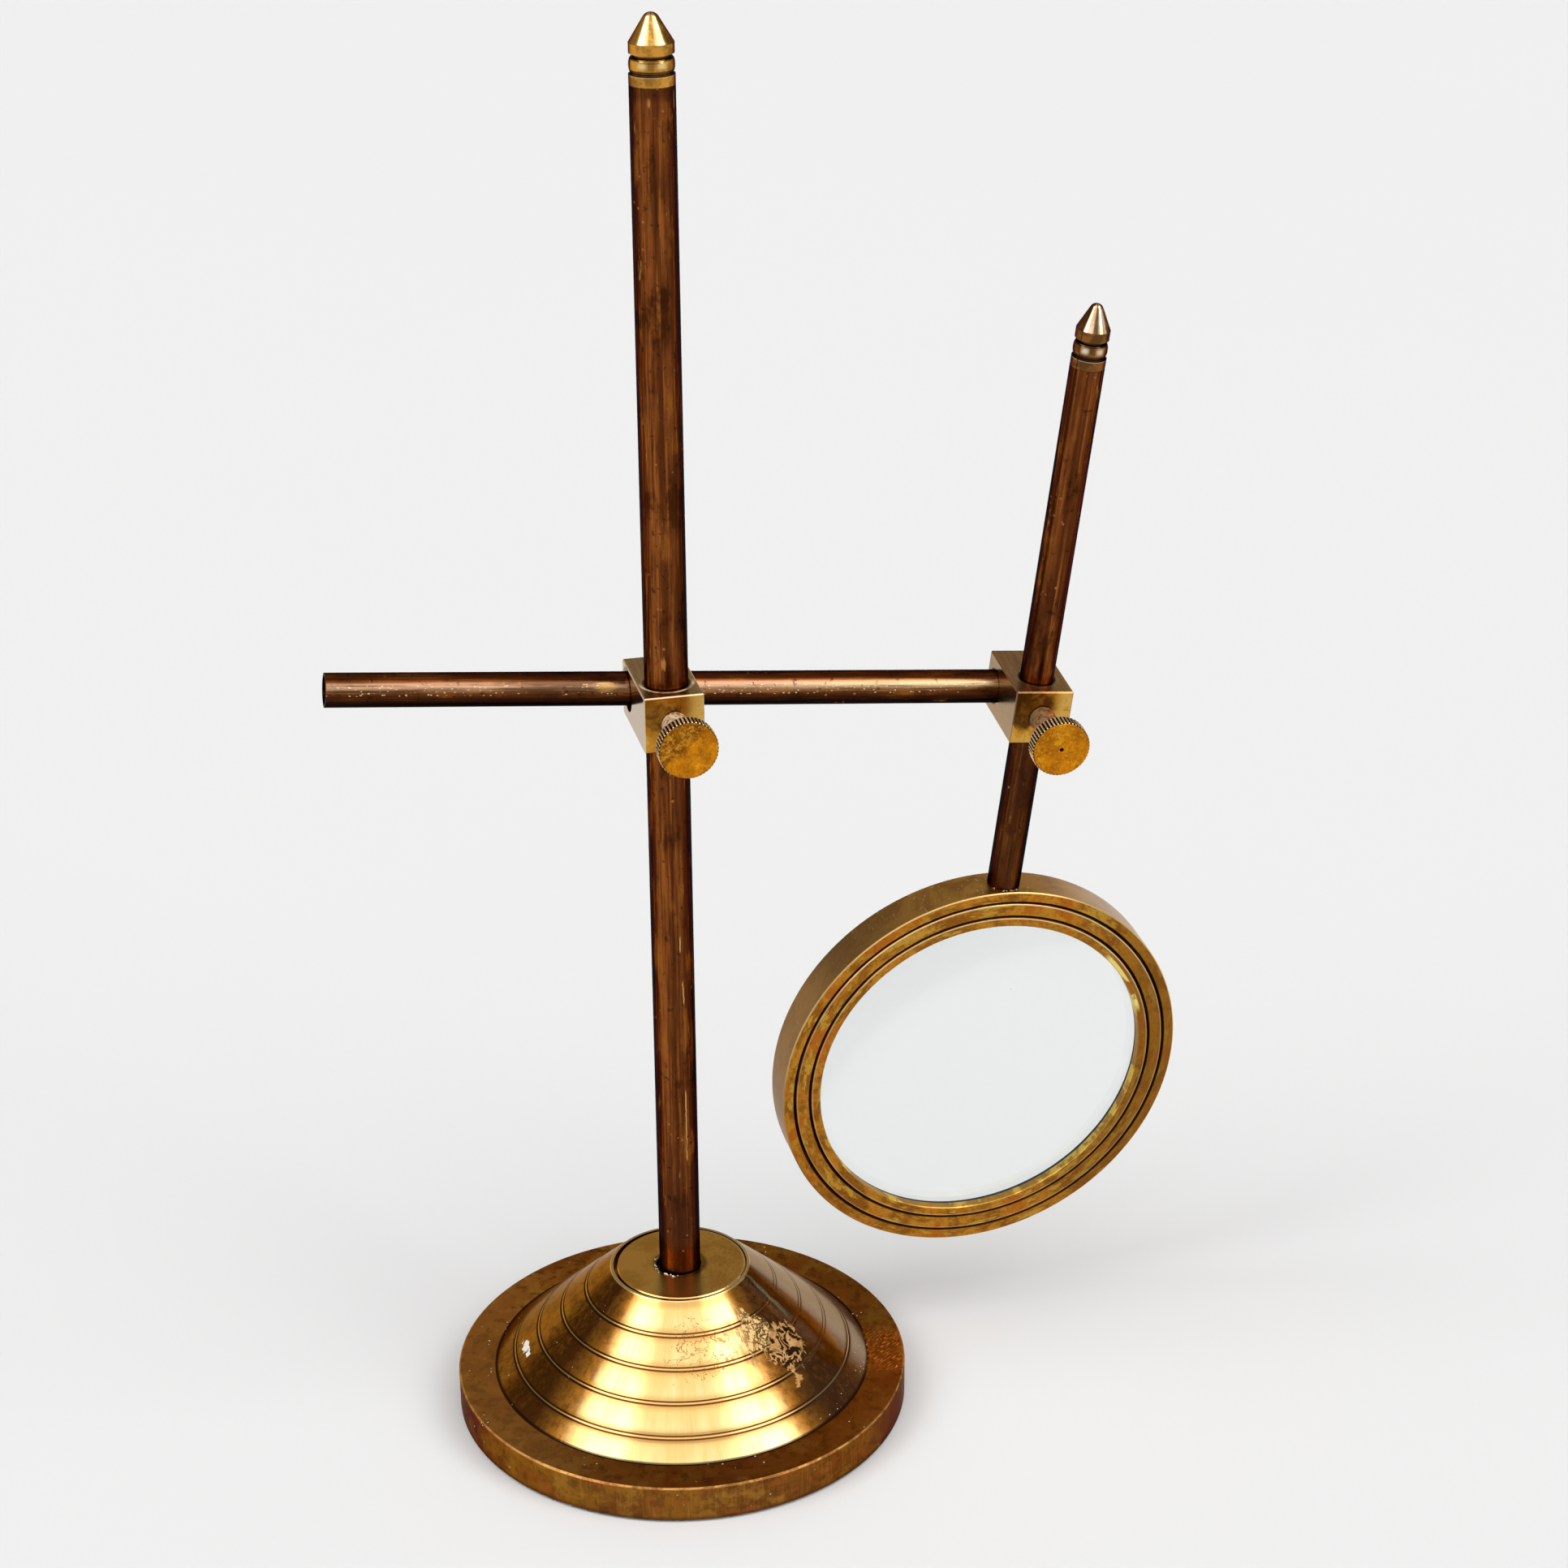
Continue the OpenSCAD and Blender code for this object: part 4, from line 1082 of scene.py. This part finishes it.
class LENS_OT_glass(bpy.types.Operator):
    """The biconvex lens, spun smooth, of clear glass with a few dust specks"""

    bl_idname = "lens_stand.glass"
    bl_label = "Glass"

    def execute(self, context):
        sizes = context.scene.stand_small
        steps = 40
        turns = 180

        def sag(r):
            return sizes.lens_curve - math.sqrt(sizes.lens_curve**2 - r * r)

        half = sizes.lens_edge / 2 + sag(sizes.lens_radius)

        def lens(bm):
            radii = [sizes.lens_radius * i / steps for i in range(steps + 1)]
            outline = [(r, -(half - sag(r))) for r in radii] + [(r, half - sag(r)) for r in reversed(radii)]
            verts = [bm.verts.new((r, y, 0)) for r, y in outline]
            edges = [bm.edges.new(pair) for pair in zip(verts, verts[1:])]
            bmesh.ops.spin(
                bm,
                geom=verts + edges,
                cent=(0, 0, 0),
                axis=(0, 1, 0),
                angle=2 * math.pi,
                steps=turns,
                use_merge=True,
            )
            bmesh.ops.remove_doubles(bm, verts=bm.verts, dist=1e-6)
            bmesh.ops.dissolve_degenerate(bm, edges=bm.edges, dist=1e-7)
            bmesh.ops.recalc_face_normals(bm, faces=bm.faces)
            for face in bm.faces:
                face.smooth = True
            for edge in bm.edges:
                edge.smooth = edge.calc_face_angle(0) < math.radians(30)
            seat = Matrix.Translation(CENTRE["ring"]) @ TILT["ring"].to_4x4()
            bmesh.ops.transform(bm, matrix=seat, verts=bm.verts)

        glass = piece_from("clear_lens", lens, "lens_head")
        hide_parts("lens_glass")
        m = Metal("clear_glass", IOR=1.52, Transmission_Weight=1.0)
        p = m.place("ring")
        dust = m.cells(p, scale=90).below(0.018, 0.03) * m.noise(p, scale=30).above(0.5, 0.55)
        clear = m.mix(m.noise(p, scale=20, detail=4), (0.96, 0.985, 0.98), (0.935, 0.975, 0.97))
        m.set(Base_Color=m.mix(dust * 0.6, clear, (0.5, 0.5, 0.47)), Roughness=0.004 + dust * 0.4)
        shadow = m.node("ShaderNodeLightPath", out="Is Shadow Ray")
        through = m.node("ShaderNodeBsdfTransparent", {}, {"Color": (0.93, 0.965, 0.97)})
        solid = Wire(m, m.shader.outputs[0])
        blend = m.node("ShaderNodeMixShader", {}, {0: shadow, 1: solid, 2: through})
        m.feed(m.tree.nodes["Material Output"].inputs["Surface"], blend)
        m.onto("clear_lens")
        return {"FINISHED"}


# Small pieces


def crumb_spots(rng, number, aim, spread, reaches, sizes):
    """Place round an axis and size of each crumb; aim and spread are in degrees, the rest in millimetres."""
    spots = []
    for _ in range(number):
        turn = math.radians(rng.gauss(aim, spread))
        reach = rng.uniform(*reaches) * MM
        spots.append((reach * math.cos(turn), reach * math.sin(turn), rng.uniform(*sizes) * MM))
    return spots


def scatter_crumbs(bm, places, rng):
    """Rough little lumps at the given (place, size) pairs."""
    for place, size in places:
        angle = rng.uniform(0, 6.28)
        axis = Vector([rng.gauss(0, 1) for _ in range(3)]).normalized()
        shape = Matrix.Diagonal((rng.uniform(0.7, 1.3), rng.uniform(0.7, 1.3), rng.uniform(0.5, 0.9), 1))
        seat = Matrix.Translation(place) @ shape @ Matrix.Rotation(angle, 4, axis)
        made = bmesh.ops.create_icosphere(bm, subdivisions=2, radius=size, matrix=seat)
        for vert in made["verts"]:
            vert.co += (vert.co - Vector(place)) * rng.uniform(-0.28, 0.22)


class SMALL_OT_crumbs(bpy.types.Operator):
    """White crumbs round the post's foot"""

    bl_idname = "lens_stand.crumbs"
    bl_label = "Crumbs at the foot"

    def execute(self, context):
        sizes = context.scene.stand_small
        rng = random.Random(sizes.seed)

        def crumbs(bm):
            spots = crumb_spots(rng, sizes.crumbs, -150, 38, (9.4, 10.6), (0.16, 0.48))
            scatter_crumbs(bm, [((x, y, CAP_TOP * MM + size * 0.3), size) for x, y, size in spots], rng)

        piece_from("foot_crumbs", crumbs, "base")
        m = Metal("crumbs", Roughness=0.85)
        tone = m.noise(m.place(), scale=900, detail=3)
        m.set(Base_Color=m.mix(tone.above(0.4, 0.62), (0.8, 0.77, 0.7), (0.34, 0.25, 0.16)))
        m.bump(tone, 0.1 * MM, 0.5).onto("foot_crumbs")
        return {"FINISHED"}


class SMALL_OT_fibres(bpy.types.Operator):
    """Loose fibres at the edge of the felt"""

    bl_idname = "lens_stand.fibres"
    bl_label = "Felt fibres"

    def execute(self, context):
        sizes = context.scene.stand_small
        rng = random.Random(sizes.seed + 1)

        def fibres(bm):
            for _ in range(sizes.fibres):
                turn = rng.uniform(0, 2 * math.pi)
                if rng.random() < 0.4:
                    turn = math.radians(rng.gauss(205, 22))
                size = rng.uniform(0.5, 1.5) * MM
                made = bmesh.ops.create_cone(
                    bm, cap_ends=True, segments=5, radius1=0.1 * MM, radius2=0.03 * MM, depth=size
                )
                lean = Matrix.Rotation(math.radians(rng.uniform(62, 96)), 4, "Y")
                swing = Matrix.Rotation(math.radians(rng.uniform(-50, 50)), 4, "Z")
                reach = (RIM_RADIUS - 0.2) * MM - size * 0.55
                seat = Matrix.Translation((reach, 0, rng.uniform(0.3, 0.9) * MM))
                seat = Matrix.Rotation(turn, 4, "Z") @ seat @ swing @ lean
                bmesh.ops.transform(bm, matrix=seat, verts=made["verts"])
            for vert in bm.verts:
                vert.co.z = max(vert.co.z, 0.05 * MM)

        piece_from("felt_fibres", fibres, "base")
        tones = ((0.005, 0.006, 0.006), (0.035, 0.035, 0.032))
        two_tone("fibres", ["felt_fibres"], tones, {"scale": 500}, Roughness=0.9)
        return {"FINISHED"}


class SMALL_OT_solder(bpy.types.Operator):
    """Solder crumbs where the hanging rod meets the ring"""

    bl_idname = "lens_stand.solder"
    bl_label = "Solder crumbs"

    def execute(self, context):
        sizes = context.scene.stand_small
        rng = random.Random(sizes.seed + 2)

        def crumbs(bm):
            places = []
            for x, y, size in crumb_spots(rng, sizes.solder, -95, 50, (6.45, 7.3), (0.14, 0.42)):
                rise = math.sqrt((RING_RADIUS * MM) ** 2 - x * x)
                spot = CENTRE["ring"] + TILT["ring"] @ Vector((x, y, rise + size * 0.3))
                places.append((tuple(spot), size))
            scatter_crumbs(bm, places, rng)

        piece_from("solder_crumbs", crumbs, "lens_head")
        tones = ((0.62, 0.58, 0.5), (0.24, 0.2, 0.15))
        two_tone("solder", ["solder_crumbs"], tones, {"scale": 700}, Metallic=0.4, Roughness=0.55)
        return {"FINISHED"}


# Studio


def sine(degrees):
    return math.sin(math.radians(degrees))


class STUDIO_OT_stage(bpy.types.Operator):
    """Plain pale floor, soft studio light and the camera"""

    bl_idname = "lens_stand.stage"
    bl_label = "Floor, light and camera"

    def execute(self, context):
        studio = context.scene.stand_studio
        self.floor(studio)
        self.light(context.scene, studio)
        self.camera(context.scene, studio)
        context.scene.view_settings.view_transform = "Standard"
        return {"FINISHED"}

    def floor(self, studio):
        def disc(bm):
            bmesh.ops.create_circle(bm, cap_ends=True, segments=96, radius=9.0)

        floor = object_from("floor", disc)
        m = Metal("floor_paper", Roughness=0.9, Specular_IOR_Level=0.1)
        shade = m.noise(m.place(), scale=1.6, detail=2)
        m.set(Base_Color=m.mix(shade * 0.25, studio.floor, (0.74, 0.742, 0.745)))
        m.onto("floor")

    def light(self, scene, studio):
        """Broad light from the high front and five soft boxes; the camera sees an even pale room."""
        scene.world = scene.world or bpy.data.worlds.new("studio")
        scene.world.use_nodes = True
        w = Finish(scene.world.node_tree)
        w.tree.nodes.clear()
        direction = w.node("ShaderNodeTexCoord", out="Generated")
        x, y, z = w.split(direction)
        ahead = (x * FRONT.x + y * FRONT.y) / (hypot(x, y) + 0.001)
        high = z.above(sine(44), sine(52)) * ahead.above(sine(-8), sine(10))
        low = z.above(sine(18), sine(30)) * ahead.above(sine(28), sine(55))
        behind = ahead.below(-0.9, -0.2) * z.below(0.7, 0.95)
        glow = studio.room - behind * 0.1 + z.below(-0.02, 0.12) * 0.25
        glow = glow | (studio.room + high * (studio.overhead - studio.room))
        glow = glow | (studio.room + low * (studio.front - studio.room))
        for side, rise, soft, hard in SOFT_BOXES:
            across = Matrix.Rotation(math.radians(side), 3, "Z") @ FRONT * sine(90 - rise)
            aim = across + Vector((0, 0, sine(rise)))
            close = w.vector_maths("DOT_PRODUCT", direction, aim, out="Value")
            glow = glow | (studio.room + close.above(sine(soft), sine(hard)) * studio.boxes)
        rays = ("Is Camera Ray", "Is Transmission Ray", "Is Glossy Ray")
        camera, transmission, glossy = (w.node("ShaderNodeLightPath", out=ray) for ray in rays)
        seen = camera | transmission | (glossy * z.below(sine(9), sine(15)))
        power = seen * 0.86 + (1 - seen) * glow
        shine = w.node("ShaderNodeBackground", {}, {"Color": (1.0, 0.995, 0.985), "Strength": power})
        w.node("ShaderNodeOutputWorld", {}, {"Surface": shine})

    def camera(self, scene, studio):
        data = bpy.data.cameras.new("camera")
        data.sensor_width = 36.0
        data.lens = studio.lens
        data.clip_start = 0.05
        data.clip_end = 60.0
        camera = bpy.data.objects.new("camera", data)
        scene.collection.objects.link(camera)
        right = Vector((0.97215141, -0.23424259, -0.00721464))
        down = Vector((-0.1024497, -0.39709505, -0.91204143))
        ahead = Vector((0.21077405, 0.8873815, -0.4100346))
        turn = Matrix((right, -down, -ahead)).transposed().to_4x4()
        camera.matrix_world = Matrix.Translation(studio.stand_point) @ turn
        scene.camera = camera


class STAND_PT_panel(bpy.types.Panel):
    """The stand's pieces in the sidebar"""

    bl_idname = "STAND_PT_panel"
    bl_label = "Lens stand"
    bl_space_type = "VIEW_3D"
    bl_region_type = "UI"
    bl_category = "Lens stand"

    def draw(self, context):
        for name in SETTINGS:
            group = getattr(context.scene, name)
            box = self.layout.box()
            for key in group.__annotations__:
                box.prop(group, key)
        for operator in OPERATORS:
            self.layout.operator(operator.bl_idname)


SETTINGS = {
    "stand_brass": BrassColours,
    "stand_copper": CopperColours,
    "stand_studio": StudioSettings,
    "stand_small": SmallPieces,
}
OPERATORS = (
    STUDIO_OT_stage,
    BASE_OT_cone,
    BASE_OT_rim,
    BASE_OT_cap,
    BASE_OT_underside,
    TUBE_OT_copper,
    TUBE_OT_finials,
    CLAMP_OT_blocks,
    CLAMP_OT_thumbscrews,
    CLAMP_OT_inner,
    LENS_OT_ring,
    LENS_OT_glass,
    SMALL_OT_crumbs,
    SMALL_OT_fibres,
    SMALL_OT_solder,
)


def register():
    for name, group in SETTINGS.items():
        bpy.utils.register_class(group)
        setattr(bpy.types.Scene, name, bpy.props.PointerProperty(type=group))
    for item in (*OPERATORS, STAND_PT_panel):
        bpy.utils.register_class(item)


def unregister():
    for item in reversed((*OPERATORS, STAND_PT_panel)):
        bpy.utils.unregister_class(item)
    for name, group in SETTINGS.items():
        delattr(bpy.types.Scene, name)
        bpy.utils.unregister_class(group)


def main():
    own = set(frame["nodes"].values()) | set(frame["bodies"].values())
    for spare in [o for o in bpy.data.objects if o not in own]:
        bpy.data.objects.remove(spare)
    register()
    for item in OPERATORS:
        getattr(bpy.ops.lens_stand, item.bl_idname.split(".")[1])()


if __name__ == "__main__":
    main()
